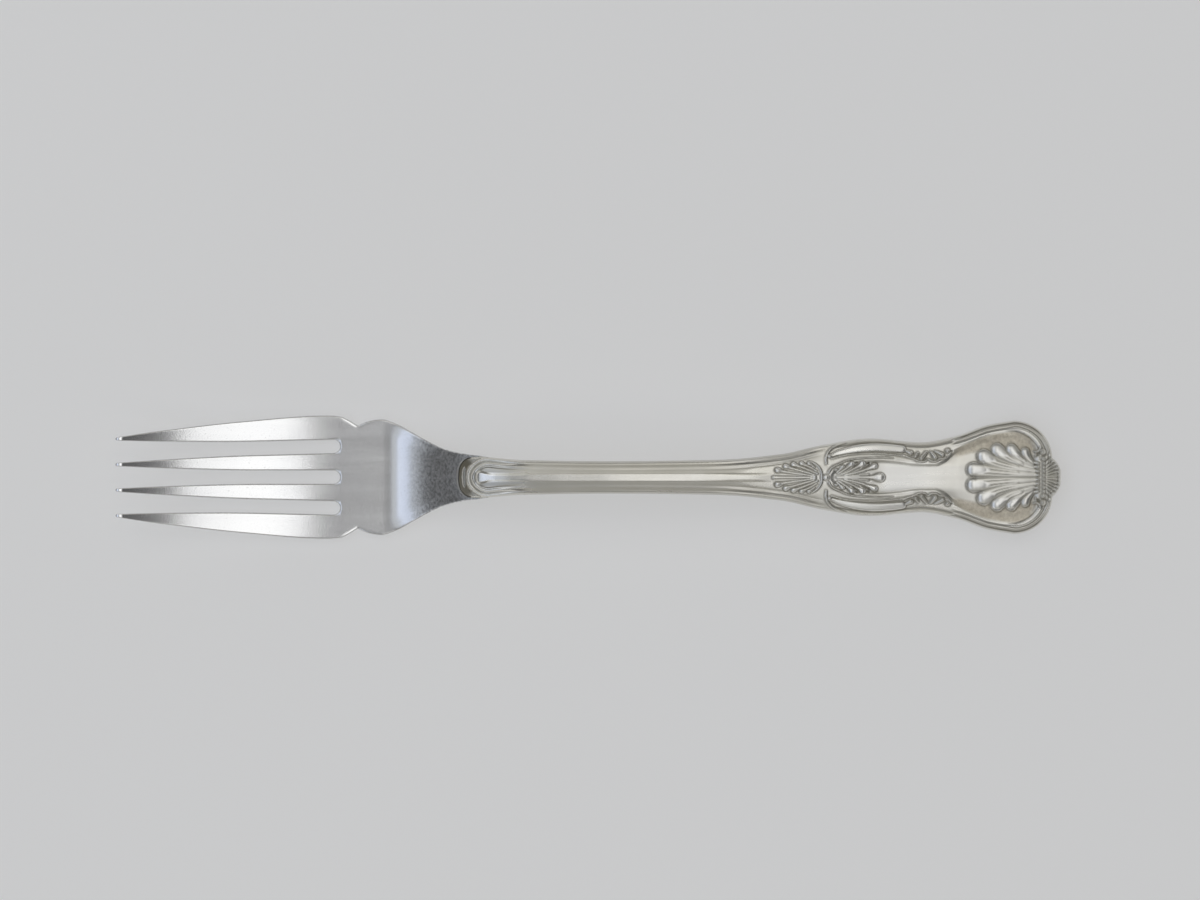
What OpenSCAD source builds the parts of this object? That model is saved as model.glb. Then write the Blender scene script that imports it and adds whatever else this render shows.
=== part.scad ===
// Fork with a filled handle: a forged head whose tang is set with cement in a
// handle that is soldered up from two stamped half shells.
// The fork lies along X with its tines at the low end, and rests on Z = 0.

/* [Overall] */
// Length of the fork from the tine tips to the end of the handle
fork_len = 185; // [176:1:196]
// Height of the middle plane over the table at the arch of the neck
arch_z = 10; // [9:0.1:13]
// Height of the middle plane over the table at the tine tips
tip_z = 7.4; // [5:0.1:9]

/* [Fork head] */
// Width across the widest place, just before the slot roots
head_w = 24.4; // [22.5:0.1:27]
// Length of the tines from the tips to the slot roots
tine_len = 43.6; // [40:0.2:47]
// Width of the rounded tip of one tine
tip_w = 0.75; // [0.6:0.05:1]
// Distance from the axis to the middle of an outer slot at its root
slot_pitch = 6.07; // [5.6:0.01:6.5]
// The same distance at the tine tips
slot_pitch_tip = 5; // [4.6:0.05:5.4]
// Width of a slot at its root
slot_w = 2.5; // [2.1:0.1:2.9]
// Depth of the shoulder notches
notch_depth = 2; // [1:0.1:2.6]
// Thickness of the plate along the belly and the shoulders
plate_t = 1.8; // [1.5:0.1:2.1]
// Thickness of the plate at the tine tips
tip_t = 1; // [0.8:0.1:1.3]
// Length of the throat from the slot roots to where the handle takes its full width
throat_len = 27.4; // [25:0.2:30]
// Thickness of the throat plate under the lips of the handle
throat_t = 2.1; // [1.9:0.1:2.3]
// Length of the tang inside the handle
tang_len = 54; // [40:1:64]
// Width of the tang at its root
tang_w = 4; // [3.4:0.1:4.4]
// Thickness of the tang
tang_t = 2; // [1.6:0.1:2.2]

/* [Handle] */
// Width of the handle where it starts at the throat
mouth_w = 8.5; // [8:0.1:9.4]
// Width of the neck
neck_w = 6.34; // [6:0.05:7.4]
// Width across the shoulders in the middle of the handle
shoulder_w = 15.2; // [14:0.1:17]
// Width of the waist between the shoulders and the tail
waist_w = 13.74; // [12.6:0.1:14]
// Width across the tail
tail_w = 22.2; // [20.5:0.1:24.5]
// Width of the ribbed lobe at the end
lobe_w = 9; // [8:0.1:10]
// Thickness of the handle at the neck
neck_t = 4.8; // [4.6:0.1:5.6]
// Thickness of the handle at the tail
tail_t = 6; // [5.4:0.1:6.8]
// Thickness of the stamped sheet, measured across the handle
sheet_t = 0.5; // [0.4:0.05:0.6]
// Clearance left for solder and cement between two pieces
film = 0.04; // [0.03:0.01:0.06]

/* [Ornament] */
// Height of the threads along the edges
thread_h = 0.24; // [0.1:0.02:0.3]
// Height of the broad scroll border
border_h = 0.36; // [0.2:0.02:0.42]
// Depth of the sunk fields inside the border
field_sink = 0.3; // [0:0.02:0.32]
// Height of the scallop shell
shell_h = 0.9; // [0.4:0.05:1]
// Height of the leaves and the honeysuckle fans
leaf_h = 0.4; // [0.2:0.02:0.5]

/* [Hidden] */

// Places along the fork, counted from the tine tips
belly_s = tine_len;
notch_s = 1.08 * tine_len;
mouth_s = tine_len + throat_len;
handle_len = fork_len - mouth_s;
neck_s = mouth_s + 0.215 * handle_len;
shoulder_s = mouth_s + 0.67 * handle_len;
waist_s = mouth_s + 0.76 * handle_len;
tail_s = mouth_s + 0.918 * handle_len;
body_end_s = mouth_s + 0.985 * handle_len;
lobe_s = mouth_s + 0.966 * handle_len;
lobe_len = 1.04 * (fork_len - lobe_s);
tang_end_s = mouth_s + tang_len;

// Half sizes that the curves are drawn with
head_r = head_w / 2;
mouth_r = mouth_w / 2;
neck_r = neck_w / 2;
shoulder_r = shoulder_w / 2;
waist_r = waist_w / 2;
tail_r = tail_w / 2;
lobe_r = lobe_w / 2;
tip_r = tip_w / 2;
slot_r = slot_w / 2;
slot_tip_r = (slot_pitch_tip - tip_w) / 2;
slot_flare = 0.6 * tine_len;
outer_tip_y = slot_pitch_tip + slot_tip_r + tip_w;

// The rounded end of the handle at the throat
mouth_bow = 0.94 * mouth_r;
bow_fade = 3 * mouth_bow;
bow_power = 2.7;
lip_inset = 0.04 * mouth_r;
step_d = 0.012 * mouth_r;
edge_round = 0.42;
end_round = 1.7;
edge_share = 0.62;
wall_z = 0.72;

// Step of the points along the head's curves
head_step = 1.2;
side_step = 1.6;

// A smooth curve through a list of [place, value] pairs, without overshoot
function chord(l, i) = (l[i + 1][1] - l[i][1]) / (l[i + 1][0] - l[i][0]);
function both(a, b) = a * b <= 0 ? 0 : 2 * a * b / (a + b);
function slope(l, i) =
    i <= 0 ? chord(l, 0) :
    i >= len(l) - 1 ? chord(l, len(l) - 2) :
    both(chord(l, i - 1), chord(l, i));
function stretch_of(l, s, i = 0) = i >= len(l) - 2 || s < l[i + 1][0] ? i : stretch_of(l, s, i + 1);
function blend(a, b, ma, mb, t) =
    a * (2 * t ^ 3 - 3 * t ^ 2 + 1) + ma * (t ^ 3 - 2 * t ^ 2 + t)
    + b * (3 * t ^ 2 - 2 * t ^ 3) + mb * (t ^ 3 - t ^ 2);
function curve(l, s) =
    let (
        i = stretch_of(l, s),
        w = l[i + 1][0] - l[i][0],
        t = max(0, min(1, (s - l[i][0]) / w))
    )
    blend(l[i][1], l[i + 1][1], slope(l, i) * w, slope(l, i + 1) * w, t);

// A quarter round from 0 to 1, a soft step and a soft bump
function round_up(u) = u >= 1 ? 1 : sqrt(max(0, 1 - (1 - u) ^ 2));
function soft_step(a, b, x) = let (t = max(0, min(1, (x - a) / (b - a)))) t * t * (3 - 2 * t);
function bump(x, c, w) = exp(-((x - c) / w) ^ 2);
function part_way(a, b, t) = a + (b - a) * t;
// Places from a to b, no more than a step apart
function places(a, b, step) =
    let (n = ceil((b - a) / step)) [for (i = [0 : n]) part_way(a, b, i / n)];

// Outline of the head on the tine side of the notches: [place, half width]
tine_outline = [
    [tip_r, outer_tip_y],
    [0.2 * tine_len, part_way(outer_tip_y, head_r, 0.3)],
    [0.56 * tine_len, part_way(outer_tip_y, head_r, 0.73)],
    [0.94 * tine_len, head_r],
    [1.005 * tine_len, head_r - 0.12 * notch_depth],
    [1.04 * tine_len, head_r - 0.45 * notch_depth],
    [notch_s, head_r - notch_depth]
];

// Outline behind the notches, down to the full width of the handle
throat_outline = [
    [notch_s, head_r - notch_depth],
    [part_way(notch_s, mouth_s, 0.09), part_way(mouth_r, head_r, 0.86)],
    [part_way(notch_s, mouth_s, 0.19), part_way(mouth_r, head_r, 0.905)],
    [part_way(notch_s, mouth_s, 0.32), part_way(mouth_r, head_r, 0.79)],
    [part_way(notch_s, mouth_s, 0.45), part_way(mouth_r, head_r, 0.575)],
    [part_way(notch_s, mouth_s, 0.58), part_way(mouth_r, head_r, 0.355)],
    [part_way(notch_s, mouth_s, 0.71), part_way(mouth_r, head_r, 0.175)],
    [part_way(notch_s, mouth_s, 0.85), part_way(mouth_r, head_r, 0.065)],
    [mouth_s, mouth_r]
];

// Outline of the handle up to its widest place at the tail
handle_outline = [
    [mouth_s, mouth_r],
    [part_way(mouth_s, neck_s, 0.12), part_way(neck_r, mouth_r, 0.62)],
    [part_way(mouth_s, neck_s, 0.36), part_way(neck_r, mouth_r, 0.21)],
    [neck_s, neck_r],
    [part_way(neck_s, shoulder_s, 0.42), part_way(neck_r, shoulder_r, 0.055)],
    [part_way(neck_s, shoulder_s, 0.66), part_way(neck_r, shoulder_r, 0.3)],
    [part_way(neck_s, shoulder_s, 0.84), part_way(neck_r, shoulder_r, 0.75)],
    [shoulder_s, shoulder_r],
    [waist_s, waist_r],
    [part_way(waist_s, tail_s, 0.37), part_way(waist_r, tail_r, 0.28)],
    [part_way(waist_s, tail_s, 0.72), part_way(waist_r, tail_r, 0.79)],
    [tail_s, tail_r]
];
function tail_corner(s) =
    let (t = min(1, (s - tail_s) / (body_end_s - tail_s)), in_r = 0.8 * lobe_r)
    s >= body_end_s ? 0 : in_r + (tail_r - in_r) * sqrt(1 - t * t);
function end_lobe(s) = s < lobe_s ? 0 : lobe_r * sqrt(max(0, 1 - ((s - lobe_s) / lobe_len) ^ 2));
function handle_r(s) =
    s < mouth_s ? curve(throat_outline, s) :
    s < tail_s ? curve(handle_outline, s) :
    max(tail_corner(s), end_lobe(s));
function handle_lean(s) = (handle_r(s + film) - handle_r(s - film)) / (2 * film);

// Height of the middle plane along the fork: the curl of the tines, the flat belly, the rise of
// the throat to the neck, and the arch that comes down to the tail
tail_z = max(0.97 * tail_t / 2, 0.93 * tail_t / 2 + 0.8 * shell_h - field_sink) + film;
heel_s = part_way(notch_s, mouth_s, 0.19);
function curl_z(s) = part_way(plate_t / 2, tip_z, (1 - max(0, s) / belly_s) ^ 2.2);
function rise_share(t) = t ^ 3 * (56 - 210 * t + 336 * t ^ 2 - 280 * t ^ 3 + 120 * t ^ 4 - 21 * t ^ 5);
function throat_z(s) = part_way(plate_t / 2, arch_z, rise_share((s - heel_s) / (neck_s - heel_s)));
function arch_share(t) = 1 - 7 / 6 * (t - ((2 * t - 1) ^ 7 + 1) / 14);
function back_z(s) = part_way(tail_z, arch_z, arch_share((s - neck_s) / (tail_s - neck_s)));
function mid_z(s) =
    s < belly_s ? curl_z(s) :
    s < heel_s ? plate_t / 2 :
    s < neck_s ? throat_z(s) :
    s < tail_s ? back_z(s) :
    tail_z;

// Thickness of the plate and the tang along the fork
plate_line = [
    [0, tip_t],
    [0.5 * tine_len, plate_t],
    [part_way(notch_s, mouth_s, 0.3), plate_t],
    [part_way(notch_s, mouth_s, 0.8), throat_t],
    [mouth_s, throat_t],
    [mouth_s + mouth_r, tang_t],
    [tang_end_s, 0.8 * tang_t]
];
function plate_half(s) = curve(plate_line, s) / 2;

// Half thickness of the handle on its axis, before its end is rounded
thick_line = [
    [mouth_s - mouth_bow, neck_t / 2],
    [neck_s, neck_t / 2],
    [shoulder_s, part_way(neck_t, tail_t, 0.6) / 2],
    [waist_s, part_way(neck_t, tail_t, 0.4) / 2],
    [part_way(waist_s, tail_s, 0.7), tail_t / 2],
    [tail_s, 0.97 * tail_t / 2],
    [body_end_s, 0.75 * tail_t / 2],
    [fork_len, 0.7 * tail_t / 2]
];
function handle_half(s) = curve(thick_line, s);

// The end line of the handle at the throat, over a point at y
function mouth_share(y) = min(1, abs(y) / (mouth_r - lip_inset));
function bow_at(y) = (1 - mouth_share(y) ^ bow_power) ^ (1 / bow_power);
function bow_left(s) = max(0, 1 - (s - mouth_s) / bow_fade) ^ 2;
function mouth_lean(y) =
    let (c = min(0.995, mouth_share(y)))
    mouth_bow / mouth_r * c ^ (bow_power - 1) * (1 - c ^ bow_power) ^ (1 / bow_power - 1);

// Distance of a point from the edge of the handle, round its end too
function mouth_d(x, y) = (x - mouth_s + mouth_bow * bow_at(y)) / sqrt(1 + mouth_lean(y) ^ 2);
function side_d(x, y) = (handle_r(x) - abs(y)) / sqrt(1 + handle_lean(x) ^ 2);
function edge_d(x, y) =
    x < mouth_s ? mouth_d(x, y) :
    x > neck_s ? side_d(x, y) :
    min(mouth_d(x, y), side_d(x, y));

// Plain height of the handle's face over the middle plane
function plain_face(x, y) =
    let (h = handle_half(x), r = max(handle_r(x), abs(y)))
    h * (edge_share + (1 - edge_share) * (1 - (y / r) ^ 2)) * round_up((fork_len - x) / end_round);

// Borders: a thin thread on the edge and a broad ridge inside it
border_place = [
    [mouth_s, 1.4], [neck_s, 1.4], [part_way(neck_s, shoulder_s, 0.7), 1.6],
    [shoulder_s, 2.6], [waist_s, 1.9], [tail_s, 1.65], [fork_len, 1.5]
];
border_width = [
    [mouth_s, 0.28], [neck_s, 0.28], [part_way(neck_s, shoulder_s, 0.7), 0.35],
    [shoulder_s, 0.75], [waist_s, 0.5], [tail_s, 0.45], [fork_len, 0.4]
];
function borders(x, d) =
    let (
        place = curve(border_place, x),
        width = curve(border_width, x),
        broad = soft_step(part_way(neck_s, shoulder_s, 0.7), shoulder_s, x)
    )
    thread_h * bump(d, 0.42, 0.24)
    + part_way(thread_h, border_h, broad) * bump(d, place, width)
    - broad * field_sink * soft_step(place + width, place + 2 * width, d);

// Lobes of a fan that lies on the axis: [angle, share of its length]
fan_lobes = [[0, 1], [24, 0.84], [48, 0.66], [76, 0.5], [112, 0.42]];
// Height of one lobe, drawn from the root to its beaded end
function lobe(x, y, a, length, width) =
    let (
        u = (x * cos(a) + y * sin(a)) / length,
        v = x * sin(a) - y * cos(a),
        k = max(0, min(1, u)),
        e = norm([(u - k) * length, v])
    )
    (0.45 + 0.55 * k) * bump(e, 0, width * (0.45 + 0.55 * k));
function fan(x, y, length, width) =
    leaf_h * max([for (f = fan_lobes) lobe(x, abs(y), f[0], f[1] * length, width)]);

// Leaf clasps on both edges at the waist
clasp_len = 0.11 * handle_len;
clasp_s = part_way(waist_s, tail_s, 0.05);
function clasps(x, y) =
    let (v = handle_r(x) - 0.09 * waist_w - abs(y), u = x - clasp_s)
    abs(u) > clasp_len ? 0 :
    leaf_h * max([for (a = [-66, -34, 0, 34, 66]) lobe(v, u, a, 0.24 * waist_r + 0.03 * abs(a), 0.6)]);

// The scallop shell: lobes that fan out from a hinge near the end
hinge_s = mouth_s + 0.962 * handle_len;
rim_len = 0.12 * handle_len;
shell_lobe = 12.5;
function rim(a) = rim_len * (1.06 - 0.0092 * abs(a));
function scallop(x, y) =
    let (
        u = hinge_s - x,
        a = atan2(abs(y), u),
        r = norm([u, y]),
        t = r / rim(min(a, 84)),
        flute = abs(cos(180 * (a / shell_lobe + 0.5)))
    )
    a > 84 || t > 1.15 ? 0 :
    shell_h * round_up((1.08 + 0.07 * flute - t) * 6) * (0.45 + 0.35 * t + 0.2 * flute);

// Ribs of the end lobe and the rows of beads before it
function end_ribs(x, y) =
    0.5 * thread_h * soft_step(lobe_s - 0.3, lobe_s + 0.3, x) * cos(360 * 9.5 * y / lobe_w)
    * soft_step(lobe_r, 0.85 * lobe_r, abs(y));

function front_relief(x, y, d) =
    let (
        inner = soft_step(0.2, 0.6, d),
        shell = scallop(x, y),
        left = x > part_way(neck_s, shoulder_s, 0.55) && x < shoulder_s
            ? fan(part_way(neck_s, shoulder_s, 0.85) - x, y, 0.1 * handle_len, 0.55) : 0,
        right = x > part_way(neck_s, shoulder_s, 0.8) && x < waist_s
            ? fan(x - part_way(neck_s, shoulder_s, 0.87), y, 0.1 * handle_len, 0.55) : 0
    )
    max(borders(x, d), shell * inner - field_sink)
    + inner * (max(left, right) + clasps(x, y) + end_ribs(x, y));
function back_relief(x, y, d) =
    let (inner = soft_step(0.2, 0.6, d))
    max(borders(x, d), 0.8 * scallop(x, y) * inner - field_sink) + inner * end_ribs(x, y);

// Height of a shell's outer and inner face over the middle plane
ledge_gap = 2.5 * film;
ledge_end = mouth_s + sheet_t + 0.3 * mouth_r;
function ledge(x) = x < ledge_end ? plate_half(x) + ledge_gap : 0;
function outer_face(x, y, front) =
    let (d = edge_d(x, y))
    max(
        ledge(x),
        plain_face(x, y) * round_up(d / edge_round)
        + (front ? front_relief(x, y, d) : back_relief(x, y, d)) * round_up((fork_len - x) / end_round)
    );
function inner_face(x, y, s) =
    let (d = edge_d(x, y) - 0.8 * sheet_t)
    max(
        ledge(x),
        plain_face(s, y) * (1 - wall_z / handle_half(s)) * round_up(max(0.15, d / edge_round))
    );

// Rows along the shells, closer where the ornament is
function rows(a, b, n) = [for (i = [0 : n - 1]) part_way(a, b, i / n)];
row_s = concat(
    [mouth_s, mouth_s + step_d, mouth_s + 0.05 * mouth_r, mouth_s + 0.12 * mouth_r],
    rows(mouth_s + 0.22 * mouth_r, mouth_s + 1.3 * mouth_r, 7),
    rows(mouth_s + 1.3 * mouth_r, part_way(neck_s, shoulder_s, 0.6), 20),
    rows(part_way(neck_s, shoulder_s, 0.6), part_way(waist_s, tail_s, 0.6), 34),
    rows(part_way(waist_s, tail_s, 0.6), body_end_s - 0.06 * lobe_r, 24),
    rows(body_end_s - 0.06 * lobe_r, body_end_s, 2),
    rows(body_end_s, fork_len - 0.02 * lobe_r, 7),
    [fork_len]
);
last_row = len(row_s) - 1;

// Places across a row, from one edge to the other
front_side = [0, 0.06, 0.2, 0.42, 0.9, 1.4, 2.1];
back_side = [0, 0.06, 0.42, 1.4];
front_n = 30;
back_n = 20;
inner_n = 10;
inner_side = [1, 0.97, 0.88, 0.7, 0.4];
function across(r, side, n) =
    let (k = min(1, r / 3.1), m = len(side) - 1, in_r = r - side[m] * k, gaps = n - 2 * m)
    concat(
        [for (j = [0 : m]) -r + side[j] * k],
        [for (j = [1 : gaps - 1]) in_r * (2 * j / gaps - 1)],
        [for (j = [m : -1 : 0]) r - side[j] * k]
    );
function inner_across(r) =
    concat([for (c = inner_side) -(r - sheet_t) * c], [0], [for (j = [4 : -1 : 0]) (r - sheet_t) * inner_side[j]]);

// Points of one row of a shell's outer and inner face; up is 1 for the front and -1 for the back,
// which is drawn with its face up and then turned over
function outer_row(i, up, side, n) =
    let (s = row_s[i], r = handle_r(s), ys = across(r, side, n), drop = mouth_bow * bow_left(s))
    [for (j = [0 : n])
        let (
            x = s - drop * bow_at(ys[j] * mouth_r / r),
            edge = j == 0 || j == n,
            z = i == 0 ? plate_half(x) + ledge_gap :
                edge || i == last_row ? film / 2 :
                max(film, outer_face(x, ys[j], up > 0))
        )
        [x, ys[j], up * mid_z(x) + z]];
function inner_s(s) = mouth_s + (s - mouth_s) * (handle_len - sheet_t) / handle_len;
function inner_row(i, up) =
    let (s = row_s[i], r = handle_r(s), ys = inner_across(r), drop = mouth_bow * bow_left(s))
    [for (j = [0 : inner_n])
        let (
            near = j <= 1 || j >= inner_n - 1 ? 0 : bow_at(ys[j] * mouth_r / (r - sheet_t)),
            x = inner_s(s) + sheet_t * bow_left(s) - drop * near,
            edge = j == 0 || j == inner_n,
            z = i == 0 ? plate_half(x) + ledge_gap :
                edge || i == last_row ? film / 2 :
                max(film, inner_face(x, ys[j], s))
        )
        [x, ys[j], up * mid_z(x) + z]];

// Faces between two rows of points, and between two rows with different counts
function strip(a, b, n) =
    [for (j = [0 : n - 1]) each [[a + j, b + j, b + j + 1], [a + j, b + j + 1, a + j + 1]]];
function stitch(a, n, b, m) =
    let (k = n / m, h = ceil(k / 2))
    [for (j = [0 : m - 1]) each concat(
        [for (i = [0 : k - 1]) [a + k * j + i, a + k * j + i + 1, b + j + (i >= h ? 1 : 0)]],
        [[b + j, a + k * j + h, b + j + 1]]
    )];
function turned(faces) = [for (f = faces) [f[2], f[1], f[0]]];

// One half shell as a closed skin: outer face, inner face, lips along both edges and at both ends
module half_shell(up, side, n) {
    outer = [for (i = [0 : last_row]) each outer_row(i, up, side, n)];
    inner = [for (i = [0 : last_row]) each inner_row(i, up)];
    a = n + 1;
    b = inner_n + 1;
    base = a * (last_row + 1);
    skin = concat(
        [for (i = [0 : last_row - 1]) each strip(i * a, (i + 1) * a, n)],
        turned([for (i = [0 : last_row - 1]) each strip(base + i * b, base + (i + 1) * b, inner_n)]),
        [for (i = [0 : last_row - 1]) each [
            [(i + 1) * a, i * a, base + i * b],
            [(i + 1) * a, base + i * b, base + (i + 1) * b],
            [i * a + n, (i + 1) * a + n, base + i * b + inner_n],
            [(i + 1) * a + n, base + (i + 1) * b + inner_n, base + i * b + inner_n]
        ]],
        stitch(0, n, base, inner_n),
        turned(stitch(last_row * a, n, base + last_row * b, inner_n))
    );
    polyhedron(points = concat(outer, inner), faces = turned(skin));
}

module handle_front_shell() {
    color([0.68, 0.67, 0.62])
        half_shell(1, front_side, front_n);
}

module handle_back_shell() {
    color([0.66, 0.65, 0.6])
        rotate([180, 0, 0])
            half_shell(-1, back_side, back_n);
}

// The filling follows the shells' inner faces, one clearance inside them
fill_rows = [for (i = [10 : last_row - 10]) i];
fill_last = len(fill_rows) - 1;
fill_ring = 14;
slot_gap = 2 * film;
function tang_half_w(s) = part_way(tang_w, 0.75 * tang_w, (s - mouth_s) / tang_len) / 2;
function fill_points(i) =
    let (top = inner_row(i, 1))
    concat(
        [for (j = [2 : 8]) [top[j][0], top[j][1], top[j][2] - film]],
        [for (j = [8 : -1 : 2]) [top[j][0], top[j][1], 2 * mid_z(top[j][0]) - top[j][2] + film]]
    );
function slot_points(x) =
    let (w = tang_half_w(x) + slot_gap, h = plate_half(x) + slot_gap, z = mid_z(x))
    concat(
        [for (j = [-3 : 3]) [x, w * j / 3, z + h]],
        [for (j = [3 : -1 : -3]) [x, w * j / 3, z - h]]
    );
slot_start = inner_row(fill_rows[0], 1)[inner_n / 2][0];
slot_x = places(slot_start, tang_end_s + 4 * film, side_step);
slot_last = len(slot_x) - 1;
function ring_strip(a, b, n) =
    [for (j = [0 : n - 1]) let (k = (j + 1) % n) each [[a + j, b + k, b + j], [a + j, a + k, b + k]]];
function ring_cap(a, n) =
    [for (j = [0 : n / 2 - 2]) each [
        [a + j, a + j + 1, a + n - 2 - j],
        [a + j, a + n - 2 - j, a + n - 1 - j]
    ]];

module handle_filling() {
    outer = [for (k = [0 : fill_last]) each fill_points(fill_rows[k])];
    inner = [for (x = slot_x) each slot_points(x)];
    base = fill_ring * (fill_last + 1);
    skin = concat(
        [for (k = [0 : fill_last - 1]) each ring_strip(k * fill_ring, (k + 1) * fill_ring, fill_ring)],
        turned([for (k = [0 : slot_last - 1])
            each ring_strip(base + k * fill_ring, base + (k + 1) * fill_ring, fill_ring)]),
        turned(ring_strip(0, base, fill_ring)),
        ring_cap(fill_last * fill_ring, fill_ring),
        turned(ring_cap(base + slot_last * fill_ring, fill_ring))
    );
    color([0.32, 0.2, 0.12])
        polyhedron(points = concat(outer, inner), faces = skin);
}

// The solder inside the seam: one run down each edge, from the throat round to the end lobe
seam_rows = [for (i = [4 : last_row - 7]) i];
function bead_at(i, side) =
    let (
        top = inner_row(i, 1),
        e = side > 0 ? top[inner_n] : top[0],
        b = side > 0 ? top[inner_n - 2] : top[2],
        m = side > 0 ? top[inner_n - 1] : top[1],
        z = mid_z(e[0]),
        y_in = part_way(b[1], e[1], 0.3),
        h = min(0.25, 0.4 * (m[2] - z))
    )
    [[e[0], e[1] - side * 1.5 * film, z], [e[0], y_in, z + h], [e[0], y_in, z - h]];
module seam_run(side) {
    path = [for (i = seam_rows) bead_at(i, side)];
    n = len(path);
    skin = concat(
        [for (k = [0 : n - 2]) each ring_strip(3 * k, 3 * (k + 1), 3)],
        [[0, 2, 1], [3 * n - 3, 3 * n - 2, 3 * n - 1]]
    );
    polyhedron(points = [for (p = path) each p], faces = side > 0 ? turned(skin) : skin);
}
module seam_solder() {
    color([0.55, 0.55, 0.56]) {
        seam_run(-1);
        seam_run(1);
    }
}

// The solder fillet in front of a shell's lip, on the face of the throat plate
fillet = 0.3;
module mouth_fillet(up) {
    steps = 24;
    reach = 0.93 * mouth_r;
    path = [for (k = [0 : steps])
        let (
            y = reach * sin(90 * (2 * k / steps - 1)),
            x = mouth_s - mouth_bow * bow_at(y) - film,
            h = plate_half(x) + film
        )
        [
            [x, y, mid_z(x) + up * h],
            [x - fillet, y, mid_z(x - fillet) + up * h],
            [x, y, mid_z(x) + up * (h + fillet)]
        ]];
    skin = concat(
        [for (k = [0 : steps - 1]) each ring_strip(3 * k, 3 * (k + 1), 3)],
        [[0, 2, 1], [3 * steps, 3 * steps + 1, 3 * steps + 2]]
    );
    polyhedron(points = [for (p = path) each p], faces = up > 0 ? turned(skin) : skin);
}
module mouth_solder() {
    color([0.6, 0.6, 0.6]) {
        mouth_fillet(1);
        mouth_fillet(-1);
    }
}

// Half of the head's outline in plan, from the tips to the end of the tang
function head_side() = concat(
    [for (s = places(tip_r, notch_s, head_step)) [s, curve(tine_outline, s)]],
    [for (s = places(notch_s, mouth_s - 2 * film, head_step)) if (s > notch_s) [s, curve(throat_outline, s)]],
    [
        [mouth_s + sheet_t - 2 * film, mouth_r - sheet_t - 2 * film],
        [mouth_s + 0.25 * mouth_r, part_way(tang_half_w(mouth_s), mouth_r - sheet_t, 0.42)],
        [mouth_s + 0.4 * mouth_r, part_way(tang_half_w(mouth_s), mouth_r - sheet_t, 0.12)],
        [mouth_s + 0.6 * mouth_r, tang_half_w(mouth_s + 0.6 * mouth_r)],
        [tang_end_s - tang_w / 4, tang_half_w(tang_end_s)],
        [tang_end_s, tang_half_w(tang_end_s) - tang_w / 4]
    ]
);
function slot_half(s) =
    slot_r + (slot_tip_r - slot_r) * max(0, 1 - (s - tip_r) / slot_flare) ^ 1.6;
function slot_mid(s) = part_way(slot_pitch_tip, slot_pitch, (s - tip_r) / (tine_len - tip_r));

// One slot between two tines; side is -1, 0 or 1
module slot(side) {
    root_s = tine_len - slot_r;
    edge = places(tip_r, root_s, 2 * head_step);
    polygon(concat(
        [[-1, side * slot_mid(tip_r) - slot_half(tip_r)]],
        [for (s = edge) [s, side * slot_mid(s) - slot_half(s)]],
        [for (k = [len(edge) - 1 : -1 : 0]) [edge[k], side * slot_mid(edge[k]) + slot_half(edge[k])]],
        [[-1, side * slot_mid(tip_r) + slot_half(tip_r)]]
    ));
    translate([root_s, side * slot_mid(root_s)])
        circle(r = slot_r, $fn = 48);
}

module head_plan() {
    half = head_side();
    difference() {
        polygon(concat(half, [for (k = [len(half) - 1 : -1 : 0]) [half[k][0], -half[k][1]]]));
        for (side = [-1, 0, 1]) slot(side);
    }
}

// The head seen from the side: the plate and the tang along the middle line
module head_profile() {
    line = concat(
        places(0, belly_s, side_step),
        places(heel_s, neck_s, side_step),
        [for (s = places(neck_s, tang_end_s + film, 2 * side_step)) if (s > neck_s) s]
    );
    n = len(line) - 1;
    polygon(concat(
        [for (s = line) [s, mid_z(s) + plate_half(s)]],
        [for (k = [n : -1 : 0]) [line[k], mid_z(line[k]) - plate_half(line[k])]]
    ));
}

module fork_head() {
    tall = arch_z + tip_z + 2;
    color([0.78, 0.78, 0.78])
        intersection() {
            translate([0, 0, -1])
                union() {
                    linear_extrude(height = tall)
                        head_plan();
                    for (side = [-1, 1], mid = [slot_pitch_tip / 2, outer_tip_y - tip_r])
                        translate([tip_r, side * mid, 0])
                            cylinder(r = tip_r, h = tall, $fn = 24);
                }
            translate([0, head_w, 0])
                rotate([90, 0, 0])
                    linear_extrude(height = 2 * head_w)
                        head_profile();
        }
}

// The whole fork, with X = 0 in the middle of its length
module placed() {
    translate([-fork_len / 2, 0, 0])
        children();
}

placed() fork_head();
placed() handle_front_shell();
placed() handle_back_shell();
placed() handle_filling();
placed() seam_solder();
placed() mouth_solder();
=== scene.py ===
import math

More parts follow.
